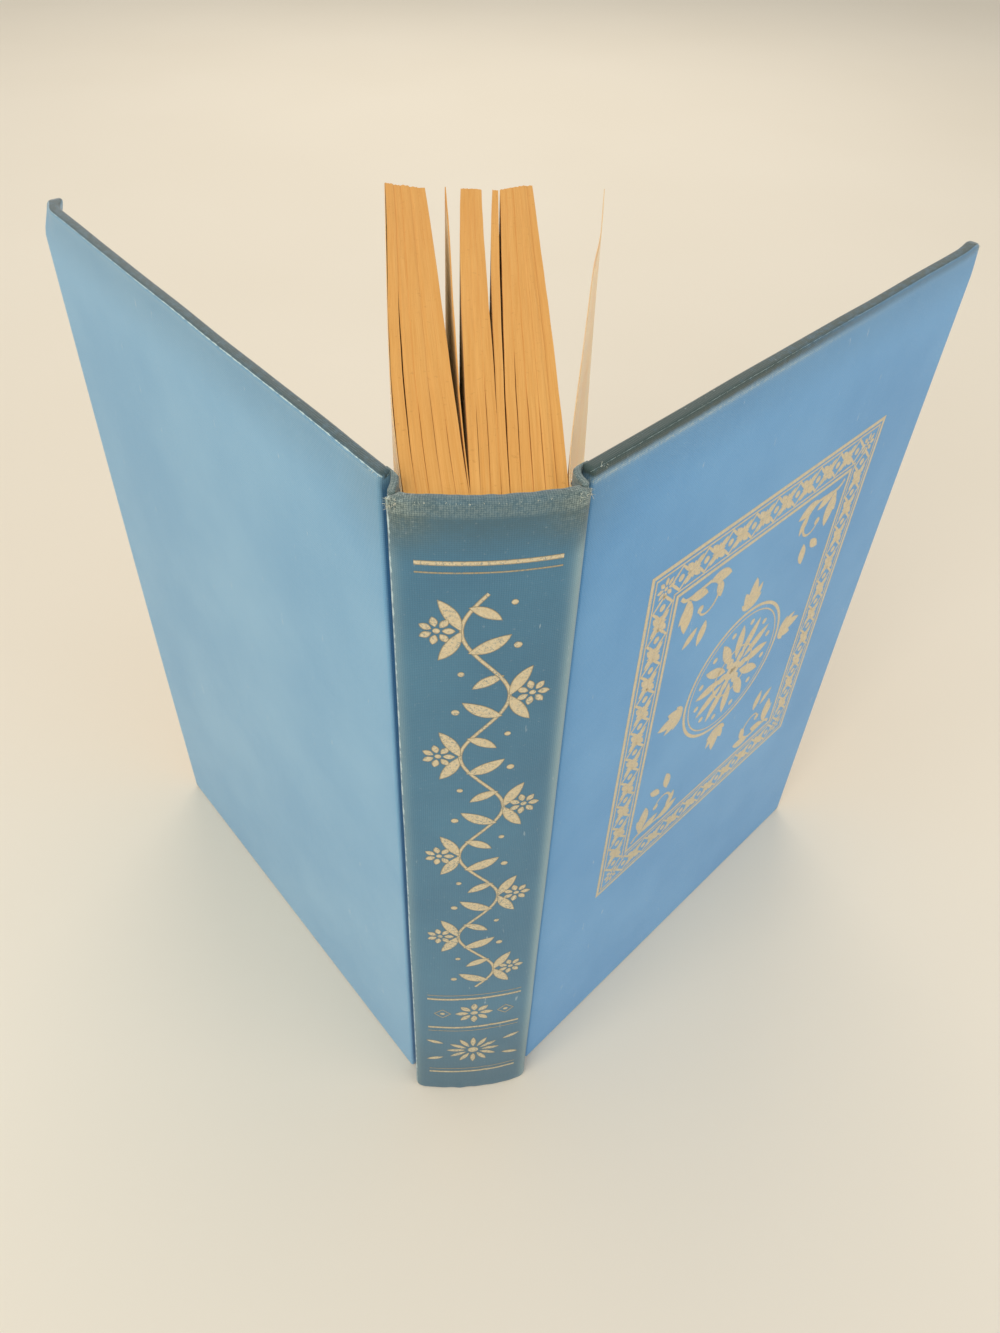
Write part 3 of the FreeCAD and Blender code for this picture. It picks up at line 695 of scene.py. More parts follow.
# ---- Covers ----------------------------------------------------------------------------------
# Two grey boards, each covered with the case's cloth, which is turned in over head, fore-edge
# and tail. The corners are knocked round, and the back cover's head corner is curled inwards.
COVER_EDGE = 1.6
COVER_END = 141.6
OUTER_FACE = -1.75
TURN_IN_TOP = 1.05
BOARD_TOP = 0.6
COVER_ROUNDING = 0.75
BOARD_INSET = 0.47
BOARD_ROUNDING = 0.45
CURL_REACH = 8.5
HEAD_WAVE = 0.2
COVERS = {
    # side: opening angle, sign of x, corner radius at head and tail, curl of the head corner, bow
    "front": (51.0, 1, 1.9, 1.3, 0.5, 0.5),
    "back": (33.0, -1, 2.1, 1.3, 2.2, -0.4),
}
HINGES = {joint["child"].split("_")[0]: joint["pos_m"] for joint in frame["joints"]}


def on_cover(side, x, y, z):
    """A place on a cover from its own axes: x from the hinge line to the fore-edge, y from the
    outer face towards the pages, z up. The wear is added before the cover is put in place."""
    angle, sign, head_radius, tail_radius, curl, bow = COVERS[side]
    for level, end, radius in ((CASE_HEIGHT, 1, head_radius), (0, -1, tail_radius)):
        beside, above = x - (COVER_END - radius), end * (z - level) + radius
        inside = (beside > 0) & (above > 0)
        shrink = np.where(inside, np.maximum(beside, above)
                          / np.maximum(np.hypot(beside, above), 1e-6), 1.0)
        x = np.where(inside, COVER_END - radius + beside * shrink, x)
        z = np.where(inside, level + end * (above * shrink - radius), z)
    from_corner = np.hypot(COVER_END - x, CASE_HEIGHT - z)
    knock = 1 - ease(from_corner, 0, CURL_REACH)
    y = y + curl * knock + 0.45 * curl * (y - OUTER_FACE) / 2.8 * knock
    y = y + bow * np.sin(np.pi * z / CASE_HEIGHT) * (x / COVER_END) ** 2
    z = z + HEAD_WAVE * uneven(x + 40 * sign, 17, 81) * ease(z, CASE_HEIGHT - 40, CASE_HEIGHT) \
        * ease(x, 4, 20)
    turn = np.radians(angle)
    hinge = np.array(HINGES[side][:2]) / MM
    along = np.array([sign * np.sin(turn), np.cos(turn)])
    inward = np.array([-sign * np.cos(turn), np.sin(turn)])
    flat = hinge + x[:, None] * along + y[:, None] * inward
    return np.stack([flat[:, 0], flat[:, 1], z], -1)


def facing_out(side, faces):
    """The faces, turned round on the back cover, whose axes are a mirror image of the front's."""
    return faces if COVERS[side][1] > 0 else faces[:, ::-1]


board_pulp = card_material("grey_board", "7d6c54", "a08d6f")
# One cloth in two colours: the back cover's paler blue is partly painted light, where it faces the
# lamp, and the front cover's deeper blue partly painted shade
cover_dyes_lit_and_shaded = {
    "front": cloth_material("cover_cloth_shaded_deeper", "5c9dd2", "6dabdc", "3c4f4d", 0.20, 0.25),
    "back": cloth_material("cover_cloth_lit_paler", "70a8ce", "82b5d6", "3f5457", 0.20, 0.35),
}
for side in COVERS:
    board_sides = (
        stations(COVER_EDGE + BOARD_INSET, COVER_END - BOARD_INSET, BOARD_ROUNDING, 24),
        stations(OUTER_FACE + BOARD_INSET, BOARD_TOP - 0.02, BOARD_ROUNDING, 3),
        stations(BOARD_INSET, CASE_HEIGHT - BOARD_INSET, BOARD_ROUNDING, 36))
    points, faces = rounded_slab(board_sides, BOARD_ROUNDING)
    board = add_piece(side + "_pulp_board", on_cover(side, *points.T),
                      facing_out(side, faces), board_pulp)
    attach(board, side + "_cover")
    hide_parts(side + "_board")
    dress(side + "_board", board_pulp)

    cloth_sides = (stations(COVER_EDGE, COVER_END, COVER_ROUNDING, 90,
                            (COVER_END - TURN_IN, COVER_END - 2.8, COVER_END - 5)),
                   stations(OUTER_FACE, TURN_IN_TOP, COVER_ROUNDING, 3),
                   stations(0, CASE_HEIGHT, COVER_ROUNDING, 120,
                            (TURN_IN, CASE_HEIGHT - TURN_IN, 1.5,
                             *(CASE_HEIGHT - np.array([1.1, 1.5, 2.0, 2.6, 3.3])))))
    points, faces = rounded_slab(cloth_sides, COVER_ROUNDING)
    used, faces = open_window(points, faces, lambda middle: (
        (middle[:, 1] > BOARD_TOP) & (middle[:, 0] < COVER_END - TURN_IN)
        & (np.abs(middle[:, 2] - CASE_HEIGHT / 2) < CASE_HEIGHT / 2 - TURN_IN)))
    x, y, z = points[used].T
    depth, to_end = y - OUTER_FACE, np.minimum(z, CASE_HEIGHT - z)
    threads = np.stack([
        x + depth * (ease(x, COVER_END - 5, COVER_END - 0.7) - 1 + ease(x, COVER_EDGE, 6)),
        z + np.sign(z - CASE_HEIGHT / 2) * depth * (1 - ease(to_end, 0.7, 5)), depth], -1)
    # Pale lines along both arrises, strongest where the back cover's head was rubbed
    border, inner = np.minimum(to_end, COVER_END - x), TURN_IN_TOP - y
    on_edge = ease(np.minimum(depth, inner + 0.3) - border, -0.3, 0.35)
    at_head = 1 - ease(CASE_HEIGHT - z, 0.8, 3.0)
    strength = {"front": 0.12, "back": 1.0 - 0.6 * ease(x, 60, 135)}[side] * at_head
    strength = np.maximum(strength, 0.35 * (1 - at_head) + 0.02)
    from_edge = np.minimum(np.abs(border - depth), np.abs(border - inner) + 0.1) / strength
    # Dirt on the edges, at the corners, near the joint and in a band along the head
    corner = 1 - ease(np.hypot(COVER_END - x, to_end), 0.8, 3.6)
    near_joint = 0.3 * (1 - ease(np.hypot(x - COVER_EDGE, CASE_HEIGHT - z), 2, 24))
    along_head = 0.20 * (1 - ease(CASE_HEIGHT - z, 1, 16))
    if side == "front":
        along_head += (0.9 - 0.55 * ease(x, 40, 110)) * (1 - ease(CASE_HEIGHT - z, 0.9, 2.8))
    grime = on_edge * np.where(z > CASE_HEIGHT / 2, 1.0, 0.75)
    grime = np.maximum.reduce([grime, 0.55 * corner, near_joint, along_head])
    # Bare threads in a line under that band, and a deeper blue along the groove: kept dye and
    # painted shade
    comb = np.exp(-((CASE_HEIGHT - z - {"front": 2.5, "back": 0.9}[side]) / 0.6) ** 2)
    bare_and_highlight = {"front": 0.85 - 0.75 * ease(x, 40, 115), "back": 0.2}[side] * comb * (1 - on_edge)
    bare_and_highlight = np.maximum(bare_and_highlight, 0.45 * corner)
    kept = (1 - ease(x - COVER_EDGE, 0.15, 0.75)) * ease(depth, 0.3, 0.9) * ease(to_end, 1, 4)
    shell = add_piece(side + "_case_cloth", on_cover(side, x, y, z), facing_out(side, faces),
                      cover_dyes_lit_and_shaded[side], threads=threads, from_edge=from_edge,
                      wear=np.stack([grime, bare_and_highlight, kept], -1))
    wall(shell, CLOTH)
    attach(shell, side + "_cover")
    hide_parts(side + "_cover_cloth")
    dress(side + "_cover_cloth", cover_dyes_lit_and_shaded[side])


# ---- Joints ----------------------------------------------------------------------------------
# Between the spine and each board the cloth lies in a groove without stiffening, and bends there
# when the cover turns. It is thicker at head and tail, where it is turned in on itself.
JOINT_OUTLINE = ((16.05, 1.7), (16.2, 2.6), (15.9, 3.6), (15.6, 4.7), (15.5, 5.7))
JOINT_ON_COVER = ((1.0, 0.45), (1.75, 0.72), (3.2, 0.66))
JOINT_ROUNDING = 0.35
JOINT_THICKNESS = 0.8
TURNED_IN_EXTRA = 0.5
PUFFED = 0.12


def from_hinge(side, place):
    """A flat place in the book's axes from a pair in a cover's own axes."""
    angle, sign = np.radians(COVERS[side][0]), COVERS[side][1]
    hinge = np.array(HINGES[side][:2]) / MM
    return hinge + place[0] * np.array([sign * np.sin(angle), np.cos(angle)]) \
        + place[1] * np.array([-sign * np.cos(angle), np.sin(angle)])


for side, (angle, sign, *_) in COVERS.items():
    outline = [(sign * x, y) for x, y in JOINT_OUTLINE]
    outline += [from_hinge(side, place) for place in JOINT_ON_COVER]
    joint_line = smooth_line(outline)
    reach = float(length_along(joint_line)[-1])
    points, faces = rounded_slab((stations(0, reach, JOINT_ROUNDING, 34),
                                  stations(0, 1, JOINT_ROUNDING, 4),
                                  stations(0, CASE_HEIGHT, JOINT_ROUNDING, 70)), JOINT_ROUNDING)
    along, share, z = points.T
    to_end = np.minimum(z, CASE_HEIGHT - z)
    thickness = JOINT_THICKNESS + TURNED_IN_EXTRA * (1 - ease(to_end, 8, 17))
    thickness *= 0.3 + 0.7 * (1 - ease(along, reach - 3.2, reach - 1.4))
    puffed = PUFFED * uneven(z, 6.0, 90 + sign) * ease(along, 1, 3) \
        * (1 - ease(along, 5, reach))
    flat = laid_along(joint_line, along, sign * (share * thickness + puffed))
    place = np.stack([flat[:, 0], flat[:, 1], z - 0.12 * (1 - ease(to_end, 0, 2))
                      * np.sign(z - CASE_HEIGHT / 2)], -1)
    threads = np.stack([along, z + np.sign(z - CASE_HEIGHT / 2) * share * thickness
                        * (1 - ease(to_end, 0, 5)), share], -1)
    grime = 0.95 * ease(z, CASE_HEIGHT - 9, CASE_HEIGHT - 0.5)
    # The cloth in the slot is a deeper blue, kept dye and painted shade
    kept = ease(along, 0.4, 1.2) * (1 - ease(z, CASE_HEIGHT - 7, CASE_HEIGHT - 1))
    bare_and_highlight = 0.5 * ease(z, CASE_HEIGHT - 5, CASE_HEIGHT - 2)
    strip = add_piece(side + "_joint_cloth", place, faces if sign > 0 else faces[:, ::-1],
                      spine_dye_and_shade, threads=threads,
                      from_edge=to_end + np.minimum(share, 1 - share) * 0.8 + 0.15,
                      wear=np.stack([grime, bare_and_highlight, kept], -1))
    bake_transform(strip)
    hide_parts("spine_cloth")


# ---- Frayed threads --------------------------------------------------------------------------
# Loose pale ends of the cloth's cotton threads, which stand out where the head of the spine, the
# covers' head edges and their corners have been rubbed through.
FIBRE_RADIUS = 0.06
FIBRE_RINGS = 6


def frayed_material():
    """Cotton thread ends, some still tinted with dye and dirt."""
    material, tree, shader = new_material("frayed_threads", 0.85, Sheen_Weight=0.2)
    tint = eased(tree, noise(tree, in_millimetres(tree), 1.3, 3.0), 0.35, 0.65)
    feed(tree, shader, Base_Color=mixed(tree, tint, "8fa5a3", "e4e3cf"))
    return material


def fibres(roots, outward, length, seed):
    """Thin four-sided tubes, one from each root. Each starts a little inside the cloth, runs
    outward with a random lean, bends with the square of the distance and thins to a third."""
    random, count = np.random.default_rng(seed), len(roots)
    heading = np.asarray(outward, float) + random.normal(0, 0.5, (count, 3))
    heading /= np.linalg.norm(heading, axis=1, keepdims=True)
    sideways = np.cross(heading, random.normal(size=(count, 3)))
    sideways /= np.linalg.norm(sideways, axis=1, keepdims=True)
    share = np.linspace(0, 1, FIBRE_RINGS)[None, :, None]
    reach = length * random.uniform(0.4, 1.3, (count, 1, 1))
    bend = random.uniform(-0.7, 0.7, (count, 1, 1)) * reach * share ** 2
    middle = roots[:, None] + (reach * share - 0.15) * heading[:, None] + bend * sideways[:, None]
    turn = np.arange(4)[:, None] * np.pi / 2
    ring = np.cos(turn) * sideways[:, None] + np.sin(turn) * np.cross(heading, sideways)[:, None]
    thin = FIBRE_RADIUS * (1 - 0.65 * share[..., None])
    points = middle[:, :, None] + thin * ring[:, None]
    tube = np.arange(count)[:, None, None] * FIBRE_RINGS * 4
    start = tube + np.arange(FIBRE_RINGS - 1)[:, None] * 4
    one, two = np.arange(4), (np.arange(4) + 1) % 4
    walls = np.stack([start + one, start + two, start + 4 + two, start + 4 + one], -1)
    last = 4 * (FIBRE_RINGS - 1)
    ends = tube + np.array([[3, 2, 1, 0], [last, last + 1, last + 2, last + 3]])
    return points.reshape(-1, 3), np.vstack([walls.reshape(-1, 4), ends.reshape(-1, 4)])


frayed = frayed_material()
chance = np.random.default_rng(7)
tufts = []
# From and to round the spine, how far down, how many, which way and how long
for low, high, drop, count, outward, length in (
        (0.8, 3.4, 2.2, 90, (-0.2, -0.9, 0.4), 0.75),
        (SPINE_GIRTH - 4.0, SPINE_GIRTH - 0.3, 1.8, 30, (0.4, -0.7, 0.6), 0.8),
        (4.0, SPINE_GIRTH - 4.0, 0.3, 30, (0, -0.5, 0.9), 0.35)):
    roots = on_spine(chance.uniform(low, high, count), np.full(count, 0.05),
                     CASE_HEIGHT - 0.35 - drop * chance.uniform(0, 1, count) ** 2)
    tufts.append(fibres(roots, outward, length, 500 + count))
points, faces = joined(tufts)
tuft = add_piece("spine_frayed_threads", points, faces, frayed)
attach(tuft, "pages_and_spine")

for side, (angle, sign, *_) in COVERS.items():
    outward = from_hinge(side, (0, -1)) - from_hinge(side, (0, 0))
    tufts = []
    # From and to along the cover, how far down, how many and how long
    for low, high, drop, count, length in (
            (COVER_EDGE + 0.2, 6.0, 0.5, 14, 0.7), (6.0, 62.0 - 20 * sign, 0.1, 18, 0.25),
            (COVER_END - 2.2, COVER_END - 0.5, 1.8, 12, 0.7)):
        x = chance.uniform(low, high, count)
        z = CASE_HEIGHT - 0.25 - drop * chance.uniform(0, 1, count)
        roots = on_cover(side, x, np.full(count, OUTER_FACE + 0.22), z)
        tufts.append(fibres(roots, (*(0.7 * outward), 0.6), length, 600 + count + sign))
    x = chance.uniform(COVER_END - 1.6, COVER_END - 0.4, 8)
    roots = on_cover(side, x, np.full(8, OUTER_FACE + 0.3), chance.uniform(0.5, 1.5, 8))
    tufts.append(fibres(roots, (*outward, 0.2), 0.5, 700 + sign))
    points, faces = joined(tufts)
    tuft = add_piece(side + "_frayed_threads", points, faces, frayed)
    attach(tuft, side + "_cover")


# ---- End papers ------------------------------------------------------------------------------
# A folded sheet of cream paper at each end of the pages. One half is pasted over the board and
# shows the turned-in cloth under it, the fold crosses the joint, and the other half is free.
PAPER = 0.2
PAPER_ROUNDING = 0.09
PASTEDOWN_INSET = 3.5
OVER_CLOTH = 0.45
OVER_MULL = 0.2
MULL_EDGE = (26.2, 27.4)
FRONT_FLYLEAF = ((13.74, 3.2), (13.86, 6.5), (14.5, 10.3), (16.3, 19.5), (19.6, 33.7),
                 (24.0, 52.2), (29.0, 73.4), (33.2, 90.9), (38.4, 109.8), (44.4, 137.0))
BACK_FLYLEAF = ((-13.74, 3.2), (-13.86, 6.5), (-14.08, 13.0), (-14.38, 25.0), (-14.47, 38.0),
                (-14.3, 56.0), (-13.95, 75.0), (-13.3, 105.0), (-12.5, 142.0))
FOLD_OUTLINE = ((13.98, 3.4), (14.0, 5.2), (14.02, 6.6))
FOLD_ON_COVER = ((0.3, 1.45), (1.6, 1.28), (3.0, 1.22))


def end_paper_material():
    """Cream paper, tanned towards its edges, with foxing and a soft tooth. Its cream is painted
    paler than the paper: painted light for the light that shines through the thin leaves.
    """
    material, tree, shader = new_material("end_paper", 0.8, Specular_IOR_Level=0.25,
                                          Subsurface_Weight=0.6, Subsurface_Scale=0.0006,
                                          Subsurface_Radius=(1.0, 0.8, 0.55))
    place = in_millimetres(tree)
    marks = stained(tree, place, 40.0, 1.6)
    tooth = noise(tree, place, 2.5, 3.0, 0.6)
    # The cream is painted paler than the paper: painted light standing in for light shining
    # through it
    colour = mixed(tree, marks["Tone"], "ffe2bf", "ffeed4")
    tanned = eased(tree, mark_of(tree, "from_cut"), 0.0, 3.0, 0.7, 0.0)
    colour = mixed(tree, tanned, colour, "dcae74")
    colour = tinted(tree, colour, marks["Specks"], 0.3, "b98c57")
    feed(tree, shader, Base_Color=colour, Normal=relief(tree, tooth, 0.03))
    return material


def paper_slab(across, upward, marks=((), ())):
    """A rounded slab as thick as the paper. across and upward each hold a low end, a high end
    and how many stations lie between, and marks more stations for each of them."""
    sides = (stations(*across[:2], PAPER_ROUNDING, across[2], marks[0]),
             stations(0, PAPER, PAPER_ROUNDING, 2),
             stations(*upward[:2], PAPER_ROUNDING, upward[2], marks[1]))
    return rounded_slab(sides, PAPER_ROUNDING)


def free_leaf(corners, seed, flip, lean):
    """A leaf led along a flat line: a thin rounded slab that sways more towards its free edge,
    and leans outwards there towards the tail."""
    line = smooth_line(corners)
    reach = float(length_along(line)[-1])
    points, faces = paper_slab((0, reach, 60), (PAGE_TAIL, PAGE_HEAD, 40))
    along, depth, z = points.T
    sway = (along / reach) ** 2 * (0.8 * np.sin(z / 34 + seed) + 0.3 * uneven(z, 40, seed))
    sway = sway * flip - lean * (along / reach) ** 1.5 * (PAGE_HEAD - z) / (PAGE_HEAD - PAGE_TAIL)
    flat = laid_along(line, along, sway + depth - PAPER / 2)
    from_cut = np.minimum(np.minimum(PAGE_HEAD - z, z - PAGE_TAIL), reach - along)
    return np.stack([flat[:, 0], flat[:, 1], z], -1), faces, from_cut


end_paper = end_paper_material()
# Each leaf's line, the seed of its sway, how much it sways and how far it leans
for side, corners, *bends in (("front", FRONT_FLYLEAF, 2, 0.6, 4.0),
                              ("back", BACK_FLYLEAF, 5, 0.2, 0.0)):
    place, faces, from_cut = free_leaf(corners, *bends)
    leaf = add_piece(side + "_free_end_paper", place, faces, end_paper, from_cut=from_cut)
    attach(leaf, "pages_and_spine")
    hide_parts(side + "_flyleaf")
    dress(side + "_flyleaf", end_paper)


def over_turn_ins(x, z):
    """How far pasted paper stands off the board: the mull's thickness over its flap and the
    cloth's over the turn-ins, eased over about a millimetre."""
    border = np.minimum(np.minimum(z, CASE_HEIGHT - z), COVER_END - x)
    return np.maximum(OVER_CLOTH * (1 - ease(border, TURN_IN - 0.5, TURN_IN + 0.7)),
                      OVER_MULL * (1 - ease(x, *MULL_EDGE)))


for side, (angle, sign, *_) in COVERS.items():
    fine_steps = np.array([-0.5, -0.2, 0.1, 0.4, 0.7])
    steps = ([*(COVER_END - TURN_IN - fine_steps), *np.linspace(*MULL_EDGE, 4)],
             [*(TURN_IN + fine_steps), *(CASE_HEIGHT - TURN_IN - fine_steps)])
    points, faces = paper_slab((COVER_EDGE, COVER_END - PASTEDOWN_INSET, 50),
                               (PASTEDOWN_INSET, CASE_HEIGHT - PASTEDOWN_INSET, 70), steps)
    x, depth, z = points.T
    y = BOARD_TOP + 0.01 + over_turn_ins(x, z) + depth
    from_cut = np.minimum(np.minimum(z, CASE_HEIGHT - z), COVER_END - x) - PASTEDOWN_INSET
    pasted = add_piece(side + "_pasted_end_paper", on_cover(side, x, y, z),
                       facing_out(side, faces), end_paper, from_cut=from_cut)
    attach(pasted, side + "_cover")
    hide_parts(side + "_pastedown")
    dress(side + "_pastedown", end_paper)

    outline = [(sign * x, y) for x, y in FOLD_OUTLINE]
    outline += [from_hinge(side, place) for place in FOLD_ON_COVER]
    fold_line = smooth_line(outline)
    reach = float(length_along(fold_line)[-1])
    points, faces = paper_slab((0, reach, 30), (PAGE_TAIL, PAGE_HEAD, 30))
    along, depth, z = points.T
    flat = laid_along(fold_line, along, sign * (depth - PAPER / 2))
    fold = add_piece(side + "_end_paper_fold", np.stack([flat[:, 0], flat[:, 1], z], -1),
                     faces if sign > 0 else faces[:, ::-1], end_paper,
                     from_cut=np.minimum(PAGE_HEAD - z, z - PAGE_TAIL))
    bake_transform(fold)


# ---- Gold blocking ---------------------------------------------------------------------------
# Gold foil pressed into the cloth of the front cover and the spine with a heated brass block.
# The design is a plain traditional one of rules, lozenges, rosettes and a leafy stem.
FOIL_PROUD = 0.02
FOIL_SUNK = 0.06
THINNEST = 0.03
PANEL_MIDDLE = (71.5, 122.0)
PANEL_HALF = (46.0, 57.0)


def stroke(line, half_width, closed=False):
    """A flat-topped bar along a line: places on the cloth, depths, faces and the place across.

    half_width is one number or one for each point of the line. A closed line joins its ends.
    """
    line = np.asarray(line, float)
    if closed:
        slope = np.roll(line, -1, 0) - np.roll(line, 1, 0)
    else:
        slope = np.gradient(line, axis=0)
    slope /= np.maximum(np.linalg.norm(slope, axis=1, keepdims=True), 1e-9)
    half_width = np.broadcast_to(half_width, len(line))
    left = np.stack([-slope[:, 1], slope[:, 0]], -1) * half_width[:, None]
    ring = np.stack([line + left, line, line - left, line - left, line, line + left], 1)
    lift = np.broadcast_to([-FOIL_PROUD] * 3 + [FOIL_SUNK] * 3, (len(line), 6))
    points = np.concatenate([ring, lift[..., None]], -1).reshape(-1, 3)
    inward = (half_width[:, None] * [0, 1, 0, 0, 1, 0]).reshape(-1)
    start = np.arange(len(line) if closed else len(line) - 1)[:, None] * 6
    turn, after = np.arange(6), (np.arange(6) + 1) % 6
    count = len(line) * 6
    faces = np.stack([start + turn, start + after, (start + 6 + after) % count,
                      (start + 6 + turn) % count], -1).reshape(-1, 4)
    if not closed:
        cap = np.array([[0, 1, 4, 5], [1, 2, 3, 4]])
        faces = np.vstack([faces, cap[:, ::-1], cap + count - 6])
    return points, faces, inward


def stacked(strokes):
    """Lifts each bar a few thousandths of a millimetre over its neighbours, so that no two tops
    that cross lie in one plane."""
    return [(points - [0, 0, 0.002 * (k % 8)], *rest)
            for k, (points, *rest) in enumerate(strokes)]


def spaced(first, last, step=1.5):
    """Points along a straight line, about a step apart."""
    first, last = np.asarray(first, float), np.asarray(last, float)
    count = max(2, int(np.linalg.norm(last - first) / step) + 1)
    return first + (last - first) * np.linspace(0, 1, count)[:, None]


def ring_of(middle, radius, half_width, count=48):
    """A circle drawn as a closed bar."""
    turn = np.linspace(0, 2 * np.pi, count, endpoint=False)
    return stroke(np.asarray(middle) + radius * np.stack([np.cos(turn), np.sin(turn)], -1),
                  half_width, closed=True)


def heading(turn):
    """The direction of an angle in degrees as a pair."""
    return np.array([np.cos(np.radians(turn)), np.sin(np.radians(turn))])


def petal(root, direction, length, half_width, bend=0.0):
    """A leaf: a bar along a bent line, whose half width is a sine to the power 0.8."""
    share = np.linspace(0, 1, 13)
    forward = heading(direction)
    sideways = np.array([-forward[1], forward[0]])
    line = np.asarray(root) + length * share[:, None] * forward \
        + bend * (share ** 2)[:, None] * sideways
    return stroke(line, np.maximum(half_width * np.sin(np.pi * share) ** 0.8, THINNEST))


def dot(middle, radius):
    """A small disc: a bar whose half width follows the circle."""
    turn = np.linspace(-1, 1, 9) * np.pi / 2
    line = np.asarray(middle) + np.stack([radius * np.sin(turn), np.zeros(9)], -1)
    return stroke(line, np.maximum(radius * np.cos(turn), THINNEST))


def lozenge(middle, half, half_width):
    """A four-cornered diamond outline with a dot in it."""
    x, z = middle
    corners = np.array([(x + half, z), (x, z + half), (x - half, z), (x, z - half)])
    outline = np.concatenate([spaced(corners[k], corners[(k + 1) % 4], half / 2)[:-1]
                              for k in range(4)])
    return [stroke(outline, half_width, closed=True), dot(middle, half * 0.3)]


def rosette(middle, radius, petals, half_width):
    """Petals round a dot."""
    made = [petal(middle + 0.28 * radius * heading(turn), turn, 0.72 * radius, half_width)
            for turn in np.arange(petals) * 360 / petals]
    return made + [dot(middle, 0.2 * radius)]


def frame_rule(middle, half, half_width):
    """A rectangle of four straight bars that meet at its corners."""
    (x, z), (a, b) = middle, half
    corners = [(x - a, z - b), (x + a, z - b), (x + a, z + b), (x - a, z + b)]
    made = []
    for k in range(4):
        first, last = np.array(corners[k]), np.array(corners[(k + 1) % 4])
        beyond = (last - first) / np.linalg.norm(last - first) * half_width
        made.append(stroke(spaced(first - beyond, last + beyond), half_width))
    return made


def corner_spray(corner, right, up):
    """A curled stem with leaves that grows out of a corner of the panel."""
    share = np.linspace(0, 1, 26)
    turn = np.radians(20 + 250 * share)
    radius = 5.2 * (1 - 0.72 * share)
    middle = np.array([9.5, 7.0])
    curl = middle + radius[:, None] * np.stack([np.cos(turn - 1.9), np.sin(turn - 1.9)], -1)
    stem = smooth_line([(0.8, 0.8), (3.0, 2.2), tuple(curl[0])], 6)
    parts = [stroke(np.vstack([stem[:-1], curl]), np.concatenate(
        [np.full(len(stem) - 1, 0.42), np.linspace(0.42, 0.2, len(curl))]))]
    parts.append(dot(curl[-1], 0.9))
    for root, direction, length in (((3.2, 2.4), 78, 8.5), ((4.2, 3.0), 112, 5.4),
                                    ((3.6, 2.2), 12, 6.2), ((9.8, 1.6), 8, 7.0),
                                    ((12.6, 3.2), 62, 5.2), ((11.0, 11.8), 96, 6.0),
                                    ((8.4, 12.0), 132, 5.0)):
        parts.append(petal(root, direction, length, 0.21 * length, bend=0.12 * length))
    made = []
    for points, faces, inward in parts:
        points = points * (1.25 * right, 1.25 * up, 1) + (*corner, 0)
        made.append((points, faces if right * up > 0 else faces[:, ::-1], inward))
    return made


def panel_strokes():
    """The front cover's panel: rules, a border of lozenges and leaves, sprays and a medallion."""
    (x, z), (a, b) = PANEL_MIDDLE, PANEL_HALF
    made = []
    for inset, half_width in ((0.0, 0.55), (1.4, 0.26), (9.1, 0.26), (10.5, 0.5)):
        made += frame_rule(PANEL_MIDDLE, (a - inset, b - inset), half_width)
    band = 5.25
    for right in (-1, 1):
        for up in (-1, 1):
            corner = (x + right * (a - band), z + up * (b - band))
            made += rosette(corner, 3.1, 8, 0.6)
            made += corner_spray((x + right * (a - 11.4), z + up * (b - 11.4)), -right, -up)
    for start, direction, reach in (((x, z + b - band), (1, 0), a - 10.5),
                                    ((x, z - b + band), (1, 0), a - 10.5),
                                    ((x - a + band, z), (0, 1), b - 10.5),
                                    ((x + a - band, z), (0, 1), b - 10.5)):
        count = 2 * int(reach / 8.0)
        for k in range(-count, count + 1):
            place = np.array(start) + np.array(direction) * k * reach / count
            if k % 2 == 0:
                made += lozenge(place, 3.3, 0.42)
            else:
                for turn in (45, 135, 225, 315):
                    made.append(petal(place, 90 * direction[1] + turn, 3.9, 0.95))
                for turn in (0, 90, 180, 270):
                    made.append(petal(place, 90 * direction[1] + turn, 2.4, 0.55))
    made += [ring_of((x, z), 20.5, 0.5, 72), ring_of((x, z), 18.7, 0.22, 72)]
    made += rosette((x, z), 16.2, 12, 1.7)
    made += [ring_of((x, z), 8.2, 0.3)] + rosette((x, z), 7.2, 6, 1.5)
    for turn in np.arange(0, 360, 30):
        made.append(dot(PANEL_MIDDLE + 15.4 * heading(turn + 15), 0.95))
    for turn in (0, 90, 180, 270):
        root = PANEL_MIDDLE + 21.8 * heading(turn)
        for lean, length in ((0, 10.0), (30, 7.6), (-30, 7.6), (58, 5.2), (-58, 5.2)):
            made.append(petal(root, turn + lean, length, 0.19 * length, bend=-0.1 * lean / 15))
    return made


